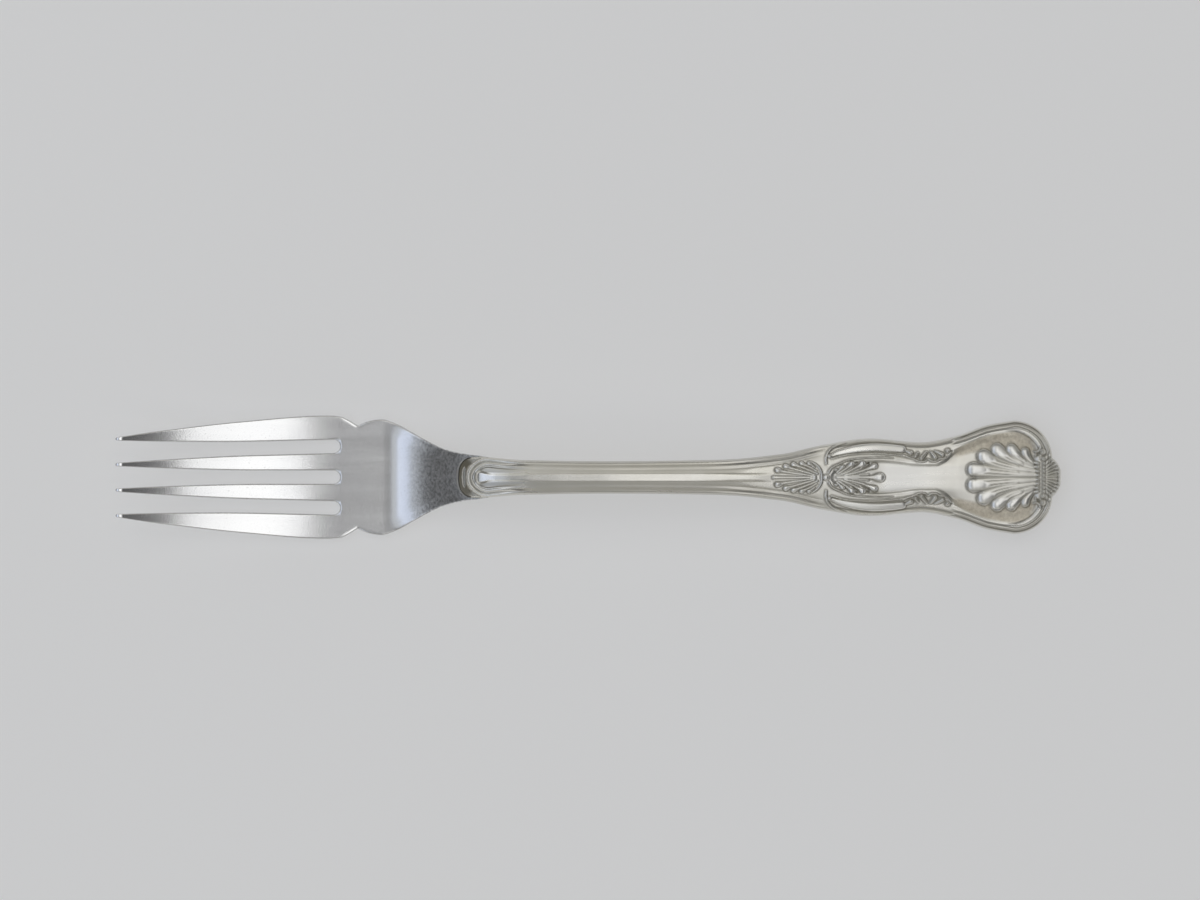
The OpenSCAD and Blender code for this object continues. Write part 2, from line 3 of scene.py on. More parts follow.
import bmesh
import bpy
import numpy as np
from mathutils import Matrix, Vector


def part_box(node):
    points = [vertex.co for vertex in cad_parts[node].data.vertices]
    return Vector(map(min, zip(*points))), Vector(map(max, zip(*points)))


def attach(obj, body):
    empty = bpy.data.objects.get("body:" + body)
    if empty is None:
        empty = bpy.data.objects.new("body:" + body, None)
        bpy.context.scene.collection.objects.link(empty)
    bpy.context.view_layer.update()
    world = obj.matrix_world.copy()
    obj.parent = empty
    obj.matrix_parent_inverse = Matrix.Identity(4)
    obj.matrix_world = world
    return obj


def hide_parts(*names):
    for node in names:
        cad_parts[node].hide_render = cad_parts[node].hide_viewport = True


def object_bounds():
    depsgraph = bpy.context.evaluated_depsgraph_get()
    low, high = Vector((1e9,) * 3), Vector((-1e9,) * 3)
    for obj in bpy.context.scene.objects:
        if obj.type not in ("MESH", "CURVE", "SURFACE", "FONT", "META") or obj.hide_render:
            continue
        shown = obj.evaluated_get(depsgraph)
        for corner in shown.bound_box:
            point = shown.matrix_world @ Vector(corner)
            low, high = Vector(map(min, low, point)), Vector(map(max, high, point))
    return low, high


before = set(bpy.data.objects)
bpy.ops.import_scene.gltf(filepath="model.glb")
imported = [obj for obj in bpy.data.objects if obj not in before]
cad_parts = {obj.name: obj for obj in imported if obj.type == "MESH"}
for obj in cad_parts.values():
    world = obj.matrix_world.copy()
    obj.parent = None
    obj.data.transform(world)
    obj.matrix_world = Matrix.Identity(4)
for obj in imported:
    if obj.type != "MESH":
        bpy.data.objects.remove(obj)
cad_low, cad_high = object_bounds()
MM = 0.001

# Sizes in millimetres, where an R is a half width. The first three come from the frame
FORK = (cad_high.x - cad_low.x) / MM
head_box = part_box("fork_head")
tail_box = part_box("handle_front_shell")
HEAD_R = (head_box[1].y - head_box[0].y) / MM / 2
TAIL_R = (tail_box[1].y - tail_box[0].y) / MM / 2
# The rest repeat the part's source: heights of the middle plane at the arch and the tine tips
ARCH_Z, TIP_Z = 10.0, 7.4
# Length of a tine, and width and thickness of its tip
TINE, TIP_W, TIP_T = 43.6, 0.75, 1.0
# Distance of an outer slot from the axis at its root and at the tips, and its half width
PITCH, PITCH_TIP, SLOT_R = 6.07, 5.0, 1.25
# Depth of the notches, thickness of the plate and of the throat, and length of the throat
NOTCH, PLATE_T, THROAT_T, THROAT = 2.0, 1.8, 2.1, 27.4
TANG_LEN, TANG_W, TANG_T = 54.0, 4.0, 2.0
MOUTH_R, NECK_R, SHOULDER_R, WAIST_R, LOBE_R = 4.25, 3.17, 7.6, 6.87, 4.5
# Thickness of the handle at the neck and the tail, of its sheet and of the solder
NECK_T, TAIL_T, SHEET, FILM = 4.8, 6.0, 0.5, 0.04
# Depth of the sunk fields and height of the scallop shell in the solids
SINK, SHELL_H = 0.3, 0.9

# Places along the fork, in millimetres from the tine tips
NOTCH_S = 1.08 * TINE
SLOT_ROOT = TINE - SLOT_R
MOUTH_S = TINE + THROAT
HANDLE = FORK - MOUTH_S
NECK_S = MOUTH_S + 0.215 * HANDLE
SHOULDER_S = MOUTH_S + 0.67 * HANDLE
WAIST_S = MOUTH_S + 0.76 * HANDLE
TAIL_S = MOUTH_S + 0.918 * HANDLE
BODY_END = MOUTH_S + 0.985 * HANDLE
LOBE_S = MOUTH_S + 0.966 * HANDLE
TANG_END = MOUTH_S + TANG_LEN
# The lobe is an ellipse that would reach a little past the end of the fork
LOBE_STRETCH = 1.04
LOBE_LEN = LOBE_STRETCH * (FORK - LOBE_S)
# The tips, and the slots between them, which flare over a share of their length
TIP_R = TIP_W / 2
SLOT_TIP_R = (PITCH_TIP - TIP_W) / 2
OUTER_TIP = PITCH_TIP + SLOT_TIP_R + TIP_W
FLARE, FLARE_POWER = 0.6 * TINE, 1.6
# The handle bows out over the throat, with a ledge inside that lies on the plate
BOW = 0.94 * MOUTH_R
BOW_FADE = 3 * BOW
BOW_POWER = 2.7
LIP_INSET = 0.04 * MOUTH_R
LEDGE_END = MOUTH_S + SHEET + 0.3 * MOUTH_R
LEDGE_GAP = 2.5 * FILM
# A distance at which nothing is near any more
FAR = 9.0


def mix(a, b, t):
    return a + (b - a) * t


def smooth(a, b, x):
    """A soft step that rises from 0 at a to 1 at b."""
    t = np.clip((x - a) / (b - a), 0, 1)
    return t * t * (3 - 2 * t)


def within(rise, fall, x):
    """1 between two soft steps, each given as the span in which it rises or falls."""
    return smooth(*rise, x) * (1 - smooth(*fall, x))


def patch(x, y, strength, rise, fall, side):
    """Strength within two spans along the fork, fading out over a third one off its axis."""
    return strength * within(rise, fall, x) * (1 - smooth(*side, y))


def bump(x, centre, width):
    return np.exp(-(((x - centre) / width) ** 2))


def round_up(u):
    """A quarter round from 0 at 0 to 1 at 1."""
    u = np.clip(u, 0, 1)
    return np.sqrt(1 - (1 - u) ** 2)


def curve(stations, s):
    """A smooth line through [place, value] stations, without overshoot."""
    x = np.array([p[0] for p in stations], float)
    v = np.array([p[1] for p in stations], float)
    h = np.diff(x)
    slope = np.diff(v) / h
    tangent = np.empty_like(v)
    tangent[0], tangent[-1] = slope[0], slope[-1]
    a, b = slope[:-1], slope[1:]
    both = np.where(np.abs(a + b) > 0, a + b, 1)
    tangent[1:-1] = np.where(a * b <= 0, 0, 2 * a * b / both)
    s = np.asarray(s, float)
    i = np.clip(np.searchsorted(x, s, side="right") - 1, 0, len(h) - 1)
    t = np.clip((s - x[i]) / h[i], 0, 1)
    return (
        v[i] * (2 * t**3 - 3 * t**2 + 1)
        + tangent[i] * h[i] * (t**3 - 2 * t**2 + t)
        + v[i + 1] * (3 * t**2 - 2 * t**3)
        + tangent[i + 1] * h[i] * (t**3 - t**2)
    )


# Outlines as [place, half width], and thicknesses as [place, thickness], as in the part's source
TINE_LINE = [
    [TIP_R, OUTER_TIP],
    [0.2 * TINE, mix(OUTER_TIP, HEAD_R, 0.3)],
    [0.56 * TINE, mix(OUTER_TIP, HEAD_R, 0.73)],
    [0.94 * TINE, HEAD_R],
    [1.005 * TINE, HEAD_R - 0.12 * NOTCH],
    [1.04 * TINE, HEAD_R - 0.45 * NOTCH],
    [NOTCH_S, HEAD_R - NOTCH],
]
# Share of the way from the notches to the mouth, and the share of the extra width left there
THROAT_SHARES = [
    (0.09, 0.86), (0.19, 0.905), (0.32, 0.79), (0.45, 0.575), (0.58, 0.355), (0.71, 0.175), (0.85, 0.065),
]
THROAT_LINE = [
    [NOTCH_S, HEAD_R - NOTCH],
    *[[mix(NOTCH_S, MOUTH_S, way), mix(MOUTH_R, HEAD_R, width)] for way, width in THROAT_SHARES],
    [MOUTH_S, MOUTH_R],
]
HANDLE_LINE = [
    [MOUTH_S, MOUTH_R],
    [mix(MOUTH_S, NECK_S, 0.12), mix(NECK_R, MOUTH_R, 0.62)],
    [mix(MOUTH_S, NECK_S, 0.36), mix(NECK_R, MOUTH_R, 0.21)],
    [NECK_S, NECK_R],
    [mix(NECK_S, SHOULDER_S, 0.42), mix(NECK_R, SHOULDER_R, 0.055)],
    [mix(NECK_S, SHOULDER_S, 0.66), mix(NECK_R, SHOULDER_R, 0.3)],
    [mix(NECK_S, SHOULDER_S, 0.84), mix(NECK_R, SHOULDER_R, 0.75)],
    [SHOULDER_S, SHOULDER_R],
    [WAIST_S, WAIST_R],
    [mix(WAIST_S, TAIL_S, 0.37), mix(WAIST_R, TAIL_R, 0.28)],
    [mix(WAIST_S, TAIL_S, 0.72), mix(WAIST_R, TAIL_R, 0.79)],
    [TAIL_S, TAIL_R],
]
# The tail lies on the table with its body or with the scallop shell, whichever stands out more
TAIL_Z = max(0.97 * TAIL_T / 2, 0.93 * TAIL_T / 2 + 0.8 * SHELL_H - SINK) + FILM
HEEL_S = mix(NOTCH_S, MOUTH_S, 0.19)
PLATE_LINE = [
    [0, TIP_T],
    [0.5 * TINE, PLATE_T],
    [mix(NOTCH_S, MOUTH_S, 0.3), PLATE_T],
    [mix(NOTCH_S, MOUTH_S, 0.8), THROAT_T],
    [MOUTH_S, THROAT_T],
    [MOUTH_S + MOUTH_R, TANG_T],
    [TANG_END, 0.8 * TANG_T],
]
THICK_LINE = [
    [MOUTH_S - BOW, NECK_T / 2],
    [NECK_S, NECK_T / 2],
    [SHOULDER_S, mix(NECK_T, TAIL_T, 0.6) / 2],
    [WAIST_S, mix(NECK_T, TAIL_T, 0.4) / 2],
    [mix(WAIST_S, TAIL_S, 0.7), TAIL_T / 2],
    [TAIL_S, 0.97 * TAIL_T / 2],
    [BODY_END, 0.75 * TAIL_T / 2],
    [FORK, 0.7 * TAIL_T / 2],
]


def mid_z(s):
    """Height of the middle plane: curl of the tines, flat belly, rise of the throat, arch."""
    s = np.asarray(s, float)
    belly = PLATE_T / 2
    curl = mix(belly, TIP_Z, np.clip(1 - s / TINE, 0, 1) ** 2.2)
    t = np.clip((s - HEEL_S) / (NECK_S - HEEL_S), 0, 1)
    rise = mix(belly, ARCH_Z, 1 - (1 - t) ** 6 * (1 + 6 * t + 21 * t * t))
    t = np.clip((s - NECK_S) / (TAIL_S - NECK_S), 0, 1)
    arch = mix(TAIL_Z, ARCH_Z, 1 - 7 / 6 * (t - ((2 * t - 1) ** 7 + 1) / 14))
    return np.where(s < TINE, curl, np.where(s < NECK_S, rise, arch))


def plate_half(s):
    """Half the thickness of the head and its tang."""
    return curve(PLATE_LINE, s) / 2


def handle_half(s):
    """Half the thickness of the handle on its axis."""
    return curve(THICK_LINE, s)


def handle_r(s):
    """Half width of the handle: its outline, the round corners of the tail and the end lobe."""
    s = np.asarray(s, float)
    t = np.clip((s - TAIL_S) / (BODY_END - TAIL_S), 0, 1)
    corner = np.where(s >= BODY_END, 0, mix(0.8 * LOBE_R, TAIL_R, np.sqrt(1 - t * t)))
    lobe = LOBE_R * np.sqrt(np.clip(1 - ((s - LOBE_S) / LOBE_LEN) ** 2, 0, 1))
    lobe = np.where(s < LOBE_S, 0, lobe)
    return np.where(s < TAIL_S, curve(HANDLE_LINE, s), np.maximum(corner, lobe))


def bow_at(y):
    """Share of the bow at a distance y off the axis of the mouth."""
    c = np.minimum(1, np.abs(y) / (MOUTH_R - LIP_INSET))
    return (1 - c**BOW_POWER) ** (1 / BOW_POWER)


def bow_left(s):
    """Share of the bow that a row at s still follows."""
    return np.maximum(0, 1 - (s - MOUTH_S) / BOW_FADE) ** 2


def slot_half(s):
    u = np.maximum(0, 1 - (s - TIP_R) / FLARE)
    return mix(SLOT_R, SLOT_TIP_R, u**FLARE_POWER)


def slot_mid(s):
    return mix(PITCH_TIP, PITCH, (s - TIP_R) / (TINE - TIP_R))


def tang_r(s):
    return mix(TANG_W, 0.75 * TANG_W, (s - MOUTH_S) / TANG_LEN) / 2


def to_path(x, y, path):
    """Distance of points from a line through the points of path."""
    a, b = path[:-1], path[1:]
    d = b - a
    length2 = np.maximum((d * d).sum(1), 1e-12)
    best = np.empty(x.size)
    flat_x, flat_y = x.ravel(), y.ravel()
    batch = 4096
    for i in range(0, x.size, batch):
        px, py = flat_x[i : i + batch, None] - a[:, 0], flat_y[i : i + batch, None] - a[:, 1]
        t = np.clip((px * d[:, 0] + py * d[:, 1]) / length2, 0, 1)
        best[i : i + batch] = np.hypot(px - t * d[:, 0], py - t * d[:, 1]).min(1)
    return best.reshape(x.shape)


def through(points, steps=6):
    """A smooth line through points with any number of columns."""
    p = np.array(points, float)
    if len(p) < 3:
        return p
    q = np.vstack([2 * p[0] - p[1], p, 2 * p[-1] - p[-2]])
    t = (np.arange(steps) / steps)[:, None]
    parts = []
    for a, b, c, d in zip(q[:-3], q[1:-2], q[2:-1], q[3:]):
        square = (2 * a - 5 * b + 4 * c - d) * t**2
        parts.append(0.5 * (2 * b + (c - a) * t + square + (3 * b - a - 3 * c + d) * t**3))
    return np.vstack([*parts, p[-1:]])


# Ornament as raised lines. A line is a row of points: place along the fork, distance off the
# axis, half width and height
LEFT_FAN = [
    [(128.6, 0, 0.3, 0.12), (130.5, 0, 0.24, 0.2), (136.2, 0, 0.16, 0.14)],
    [(136.3, 0.28, 0.13, 0.1), (133.5, 0.68, 0.2, 0.2), (130.5, 1.16, 0.27, 0.3),
     (129.3, 1.42, 0.55, 0.54)],
    [(136.5, 0.55, 0.13, 0.1), (134.2, 1.18, 0.2, 0.2), (131.9, 1.84, 0.26, 0.3),
     (130.9, 2.17, 0.52, 0.52)],
    [(136.8, 0.85, 0.13, 0.1), (135.1, 1.55, 0.19, 0.2), (133.3, 2.22, 0.25, 0.3),
     (132.4, 2.56, 0.48, 0.48)],
    [(137, 1.2, 0.12, 0.1), (135.9, 1.86, 0.18, 0.18), (134.6, 2.44, 0.24, 0.28),
     (133.95, 2.76, 0.43, 0.44)],
    [(136.5, 2, 0.16, 0.16), (135.9, 2.44, 0.2, 0.24), (135.4, 2.76, 0.37, 0.38)],
    [(135.4, 3.2, 0.1, 0.08), (136.5, 2.75, 0.13, 0.2), (137.4, 1.95, 0.15, 0.24), (137.85, 1, 0.16, 0.26),
     (137.95, 0, 0.16, 0.24)],
    [(136.6, 0.2, 0.26, 0.26)],
    [(137.05, 0.72, 0.2, 0.24)],
    [(138.8, 0, 0.6, 0.44)],
]
RIGHT_FAN = [
    [(141, 0, 0.2, 0.08), (145, 0, 0.22, 0.14), (147.6, 0, 0.34, 0.24), (149.4, 0, 0.92, 0.58)],
    [(142.4, 0.4, 0.14, 0.08), (145.2, 1.05, 0.2, 0.18), (147.2, 1.76, 0.3, 0.32),
     (148.3, 2.24, 0.6, 0.56)],
    [(141.9, 0.6, 0.13, 0.08), (143.7, 1.38, 0.19, 0.18), (145.15, 2.16, 0.28, 0.3),
     (145.95, 2.64, 0.56, 0.52)],
    [(141.2, 0.72, 0.12, 0.08), (142.35, 1.45, 0.18, 0.17), (143.3, 2.18, 0.26, 0.28),
     (143.85, 2.64, 0.49, 0.48)],
    [(140.9, 0.95, 0.11, 0.1), (141.5, 1.48, 0.18, 0.2), (142.05, 2.05, 0.38, 0.38)],
    [(140.8, 1.5, 0.28, 0.3)],
    [(142.6, 0.22, 0.09, 0.06), (147.2, 0.55, 0.12, 0.14)],
    [(142.8, 0.62, 0.08, 0.06), (146.4, 1.2, 0.11, 0.14)],
    [(145.4, 1.72, 0.1, 0.1), (147.1, 2.55, 0.18, 0.2)],
    [(143.6, 1.85, 0.09, 0.1), (144.9, 2.75, 0.16, 0.18)],
]
BORDER = [
    [(138.85, 2.6, 0.16, 0.07), (138.8, 3.7, 0.22, 0.13), (139.1, 4.75, 0.25, 0.16),
     (139.9, 5.65, 0.25, 0.15), (141.1, 6.35, 0.24, 0.12), (142.8, 6.95, 0.22, 0.07)],
    [(139.55, 4.15, 0.42, 0.22)],
    [(139.9, 3.65, 0.1, 0.08), (142.2, 4.25, 0.13, 0.16), (145.1, 4.6, 0.14, 0.18),
     (148.9, 4.62, 0.14, 0.18), (153.5, 4.25, 0.14, 0.18), (155.3, 3.85, 0.1, 0.1)],
    [(139.3, 0.9, 0.15, 0.2), (139.6, 1.5, 0.15, 0.24), (140.3, 2.15, 0.15, 0.24),
     (141.5, 2.68, 0.14, 0.22), (142.9, 3.3, 0.13, 0.2), (145.3, 3.72, 0.13, 0.16),
     (149.8, 3.9, 0.12, 0.12), (152, 3.8, 0.1, 0.06)],
]
BAND = [
    [(139.9, 4.3, 0.32, 0.14), (141.4, 4.85, 0.54, 0.26), (144.6, 5.55, 0.76, 0.36),
     (148.4, 5.88, 0.84, 0.38), (151.4, 5.76, 0.82, 0.38), (153.7, 5.54, 0.74, 0.38)],
]
CLASPS = [
    [(154.5, 5.15, 0.26, 0.3), (155.4, 4.78, 0.5, 0.5)],
    [(156.35, 4.1, 0.36, 0.34), (156.9, 4.8, 0.2, 0.2)],
    [(157.5, 3.78, 0.42, 0.5), (158, 4.3, 0.36, 0.42), (158.5, 4.95, 0.26, 0.26)],
    [(160.15, 3.95, 0.5, 0.52), (159.8, 4.4, 0.42, 0.44), (159.3, 5, 0.26, 0.26)],
    [(161.6, 4.42, 0.44, 0.46), (160.9, 4.8, 0.32, 0.34), (160.2, 5.15, 0.2, 0.2)],
    [(162.6, 5.2, 0.5, 0.5)],
    [(153.9, 4.45, 0.12, 0.14), (154.7, 4, 0.15, 0.24), (155.6, 3.72, 0.15, 0.26),
     (156.3, 3.42, 0.14, 0.24), (157.1, 3.08, 0.15, 0.26), (158, 3.1, 0.16, 0.28),
     (158.75, 3.6, 0.15, 0.24), (159.4, 3.2, 0.16, 0.28), (160.3, 3.15, 0.16, 0.28),
     (161.1, 3.62, 0.15, 0.24), (162, 3.72, 0.15, 0.26), (162.7, 4.15, 0.14, 0.22),
     (163.3, 4.9, 0.12, 0.16)],
]
FLUTES = [
    [(180, 0.48, 0.6, 0.5), (174.7, 0.8, 1, 0.52), (171, 1.18, 1.4, 0.58), (168.7, 1.42, 1.56, 0.62)],
    [(179.7, 1.3, 0.55, 0.5), (174.8, 2.1, 0.9, 0.52), (171.6, 3.22, 1.32, 0.58), (170.3, 3.8, 1.5, 0.62)],
    [(179.5, 1.95, 0.5, 0.48), (175.9, 3.15, 0.82, 0.52), (173.5, 4.5, 1.26, 0.58),
     (172.9, 4.95, 1.36, 0.62)],
    [(179.4, 2.4, 0.45, 0.46), (177.2, 3.5, 0.74, 0.5), (175.8, 4.7, 1.08, 0.56), (175.5, 5, 1.16, 0.6)],
    [(179.4, 2.85, 0.4, 0.42), (178.6, 3.7, 0.6, 0.46), (178, 4.5, 0.86, 0.5), (177.9, 4.7, 0.9, 0.52)],
]
BULBS = [
    [(170.6, 1.4, 0.95, 0.42), (169.2, 1.48, 1.3, 0.54), (167.8, 1.52, 1.5, 0.58)],
    [(171.8, 3.35, 0.92, 0.42), (170.7, 3.78, 1.26, 0.54), (169.75, 4.15, 1.46, 0.58)],
    [(174.2, 4.3, 0.82, 0.42), (173.2, 4.85, 1.14, 0.52), (172.35, 5.45, 1.34, 0.56)],
    [(176.5, 4.4, 0.72, 0.4), (175.8, 4.95, 0.98, 0.5), (175.15, 5.5, 1.16, 0.54)],
    [(178.4, 4.1, 0.56, 0.36), (178.1, 4.55, 0.76, 0.44), (177.85, 5, 0.92, 0.48)],
]
VEINS = [
    [(176.5, 0.4, 0.11, 0.58), (171.8, 0.68, 0.15, 0.72), (169.8, 0.84, 0.17, 0.8)],
    [(176.5, 0.9, 0.11, 0.58), (171.8, 1.44, 0.15, 0.72), (169.8, 1.84, 0.17, 0.8)],
    [(176.6, 1.58, 0.11, 0.58), (172.9, 2.42, 0.15, 0.72), (171.1, 3.08, 0.16, 0.78)],
    [(176.6, 1.95, 0.11, 0.58), (173.1, 3.02, 0.15, 0.72), (171.7, 3.78, 0.16, 0.78)],
    [(177.4, 2.45, 0.11, 0.56), (174.9, 3.46, 0.14, 0.7), (173.5, 4.4, 0.15, 0.76)],
    [(177.4, 2.8, 0.11, 0.56), (175.3, 3.92, 0.14, 0.7), (174.2, 4.8, 0.15, 0.76)],
    [(178, 3.1, 0.1, 0.54), (176.7, 4, 0.13, 0.66), (175.9, 4.7, 0.14, 0.72)],
]
HINGE = [
    [(180.9, 5.9, 0.2, 0.3), (180.55, 5.3, 0.22, 0.34), (179.95, 4.95, 0.2, 0.3),
     (179.45, 5.15, 0.16, 0.2)],
    [(179.9, 4.1, 0.24, 0.3)],
    [(181.35, 4.95, 0.62, 0.46)],
    [(181.3, 3.75, 0.34, 0.32)],
]
# Two rows of beads across the hinge
HINGE += [
    [(179.6 - 0.2 * k**1.4, 0.48 + 0.84 * k, 0.3, 0.3), (180.4, 0.42 + 0.78 * k, 0.28, 0.3)]
    for k in range(4)
]
HINGE += [[(181.5, 0.39 + 0.78 * k, 0.34, 0.3)] for k in range(5)]
# Pits between the leaves: place along the fork, distance off the axis, half width and depth
PITS = [(180.4, 4.5, 0.36, 0.36), (144.85, 2.85, 0.28, 0.16), (147.15, 2.75, 0.3, 0.18),
        (163.45, 5.15, 0.24, 0.2)]
# Half width of the sunk field inside the borders
FIELD = [
    [138.9, 0.2], [140.2, 1.7], [141.5, 2.7], [143.5, 3.55], [146, 3.95], [149, 4.05], [153, 3.75],
    [156.5, 3.35], [160, 3.3], [162, 4], [163.8, 5.5], [166.6, 6.95], [171.1, 8.5], [175.6, 9.1],
    [178.4, 8.3], [179.7, 6.8], [180.3, 5.2], [180.6, 3.8],
]


# Space round a line in which its height is worked out, and the tiny length of a single dot
MARGIN, DOT = 0.8, 1e-4
# Kinds of lines: share of the height, then the square and power of a section that goes with
# (1 - q**square)**power from its middle to its edge, and the share by which its middle is sunk
LEAF_FORM, FAN_FORM, BAND_FORM = (1.0, 2.0, 0.7, 0), (0.64, 2.0, 0.5, 0), (1.0, 5.0, 0.9, 0)
FLUTE_FORM, BULB_FORM, VEIN_FORM = (0.82, 3.0, 0.8, 0.05), (1.0, 2.0, 0.6, 0), (0.9, 2.0, 0.8, 0)


def raised(x, y, lines, kind, scale):
    """Height of a set of raised lines, and the distance outside the nearest one."""
    share, square, power, dish = kind
    high = np.zeros(x.shape)
    gap = np.full(x.shape, FAR)
    for line in lines:
        p = through(line)
        reach = p[:, 2].max() + MARGIN
        near = (
            (x > p[:, 0].min() - reach) & (x < p[:, 0].max() + reach)
            & (y > p[:, 1].min() - reach) & (y < p[:, 1].max() + reach)
        )
        if not near.any():
            continue
        if len(p) == 1:
            p = np.vstack([p, p + [DOT, 0, 0, 0]])
        px, py = x[near], y[near]
        top, out = np.zeros(px.shape), np.full(px.shape, FAR)
        for a, b in zip(p[:-1], p[1:]):
            d = b - a
            t = np.clip(((px - a[0]) * d[0] + (py - a[1]) * d[1]) / (d[0] ** 2 + d[1] ** 2), 0, 1)
            away = np.hypot(px - a[0] - t * d[0], py - a[1] - t * d[1])
            half, height = a[2] + t * d[2], a[3] + t * d[3]
            q = np.clip(away / half, 0, 1)
            top = np.maximum(top, height * (1 - q**square) ** power * (1 - dish * (1 - q * q)))
            out = np.minimum(out, away - half)
        high[near] = np.maximum(high[near], top * (share * scale))
        gap[near] = np.minimum(gap[near], out)
    return high, gap


def edge_lines(lines, d):
    """Height of thin lines along an edge, at a distance d from it."""
    return sum(height * bump(d, place, width) for height, place, width in lines)


def just_outside(gap, place, width):
    """A thin line round a raised form, from 0 to 1."""
    return np.where(gap > 0, bump(gap, place, width), 0)


# The edge of the handle on one side, and the half ellipse where its threads wrap round the throat
corner_s = TAIL_S + (BODY_END - TAIL_S) * np.sin(np.linspace(0.02, np.pi / 2 - 0.02, 60))
half_line = np.vstack([
    [(MOUTH_S - BOW * bow_at(y), y) for y in np.linspace(0, MOUTH_R - LIP_INSET, 60)],
    [(MOUTH_S, MOUTH_R)],
    [(s, handle_r(s)) for s in np.linspace(MOUTH_S + 0.2, TAIL_S, 260)],
    [(s, handle_r(s)) for s in corner_s],
    [(s, handle_r(s)) for s in np.linspace(BODY_END, FORK, 26)],
    [(FORK, 0)],
])
WRAP_S, WRAP_LEN, WRAP_END = 73.0, 4.5, 90
WRAP_R = float(handle_r(WRAP_S))
wrap_line = np.vstack([
    [(WRAP_S - WRAP_LEN * math.cos(a), WRAP_R * math.sin(a)) for a in np.linspace(0, np.pi / 2, 60)],
    [(s, handle_r(s)) for s in np.linspace(WRAP_S + 0.2, WRAP_END, 60)],
])


def edge_d(x, y):
    """Distance from the edge of the handle."""
    return to_path(x, np.abs(y), half_line)


def wrap_d(x, y):
    """Distance inside the line that the threads wrap round, less than zero outside it."""
    d = to_path(x, np.abs(y), wrap_line)
    front = WRAP_S - WRAP_LEN * np.sqrt(np.clip(1 - (y / WRAP_R) ** 2, 0, 1))
    return np.where(x > front, d, -d)


# From here on a pair is mostly a span in millimetres over which something starts or ends, along
# the fork, off its axis or from its edge. A line along an edge is its height, place and width

# The stem: threads, the bank behind the knob, and the crest that starts with the knob
STEM_THREADS = [(0.16, 0.38, 0.2), (-0.12, 0.8, 0.15), (0.19, 1.28, 0.28), (-0.1, 1.8, 0.2)]
THREADS_EDGE = (-0.1, 0.2)
THREADS_SINK, THREADS_RETURN, THREADS_END = (74, 82), (114, 130), (134, 139.2)
SUNK_THREADS, LATE_THREADS = 0.93, 0.4
BANK, BANK_SPANS, BANK_EDGE = 0.28, ((69.6, 71.2), (71.2, 79)), (0.9, 1.5)
CREST, CREST_SPANS = 0.14, ((69.7, 70.9), (124, 130.5))
SUNK_CREST, CREST_SINK = 0.75, ((76, 84), (112, 122))
KNOB, KNOB_END = 0.31, (71.0, 73.9)
# Widths over which the crest and the knob fall off
CREST_SIDE, KNOB_SIDE = (0.2, 0.95), (0.75, 1.45)


def stem_relief(x, y, d):
    e = np.where(x < WRAP_S, wrap_d(x, y), d)
    sunk = smooth(*THREADS_SINK, x) * mix(SUNK_THREADS, LATE_THREADS, smooth(*THREADS_RETURN, x))
    threads = edge_lines(STEM_THREADS, e) * smooth(*THREADS_EDGE, e) * (1 - sunk)
    z = (1 - smooth(*THREADS_END, x)) * threads
    z += BANK * within(*BANK_SPANS, x) * smooth(*BANK_EDGE, e)
    knob = 1 - smooth(*KNOB_END, x)
    crest = within(*CREST_SPANS, x) * (1 - SUNK_CREST * within(*CREST_SINK, x))
    side = smooth(mix(CREST_SIDE[0], KNOB_SIDE[0], knob), mix(CREST_SIDE[1], KNOB_SIDE[1], knob), y)
    return z + mix(CREST, KNOB, knob) * crest * (1 - side)


# The border: an edge line from the shoulders on, and the lines and the inner ridge of the tail,
# which end at the hinge's corners. The middle of the waist swells a little
EDGE_LINES = [(0.16, 0.3, 0.2), (-0.14, 0.82, 0.16)]
TAIL_LINES = [(0.08, 0.85, 0.16), (-0.1, 0.5, 0.1), (-0.1, 1.16, 0.12)]
EDGE_START, BORDER_START = (139.6, 142.5), (163.2, 164.6)
CORNER_S, CORNER = 178, (4.3, 5.1)
RIDGE_WIDEN, RIDGE_FOOT = (173, 179), 1.34
# The ridge's height, half width and sharpness before it gets wider and after
RIDGE, RIDGE_HALF, RIDGE_SHARP = (0.09, 0.22), (0.26, 0.56), (1, 0.45)
SWELL = (0.26, (137, 163), (160, 173), (1.8, 4.2))


def border_ridge(x, d):
    """The inner ridge of the tail's border, from 0 to 1."""
    late = smooth(*RIDGE_WIDEN, x)
    half = mix(*RIDGE_HALF, late)
    return np.clip(1 - ((d - RIDGE_FOOT - half) / half) ** 2, 0, 1) ** mix(*RIDGE_SHARP, late)


def border_relief(x, y, d):
    tail = smooth(*BORDER_START, x) * np.where(x > CORNER_S, smooth(*CORNER, y), 1)
    z = (smooth(*EDGE_START, x) - tail) * edge_lines(EDGE_LINES, d) + tail * edge_lines(TAIL_LINES, d)
    z += mix(*RIDGE, smooth(*RIDGE_WIDEN, x)) * tail * border_ridge(x, d)
    return z + patch(x, y, *SWELL)


# The sunk field: two steps down from its edge before the tail, and one cove round the tail
FIELD_SPANS, FIELD_DEEPER = ((139.2, 140.4), (179.3, 180.6)), (142, 149)
FIELD_DEPTH, SHALLOW = 0.36, 0.35
FIRST_STEP, FIRST_SIDE, SECOND_SIDE = 0.12, (0, 0.45), (0.5, 1.25)
COVE_START, COVE_SIDE = (162, 165), (0, 1.7)
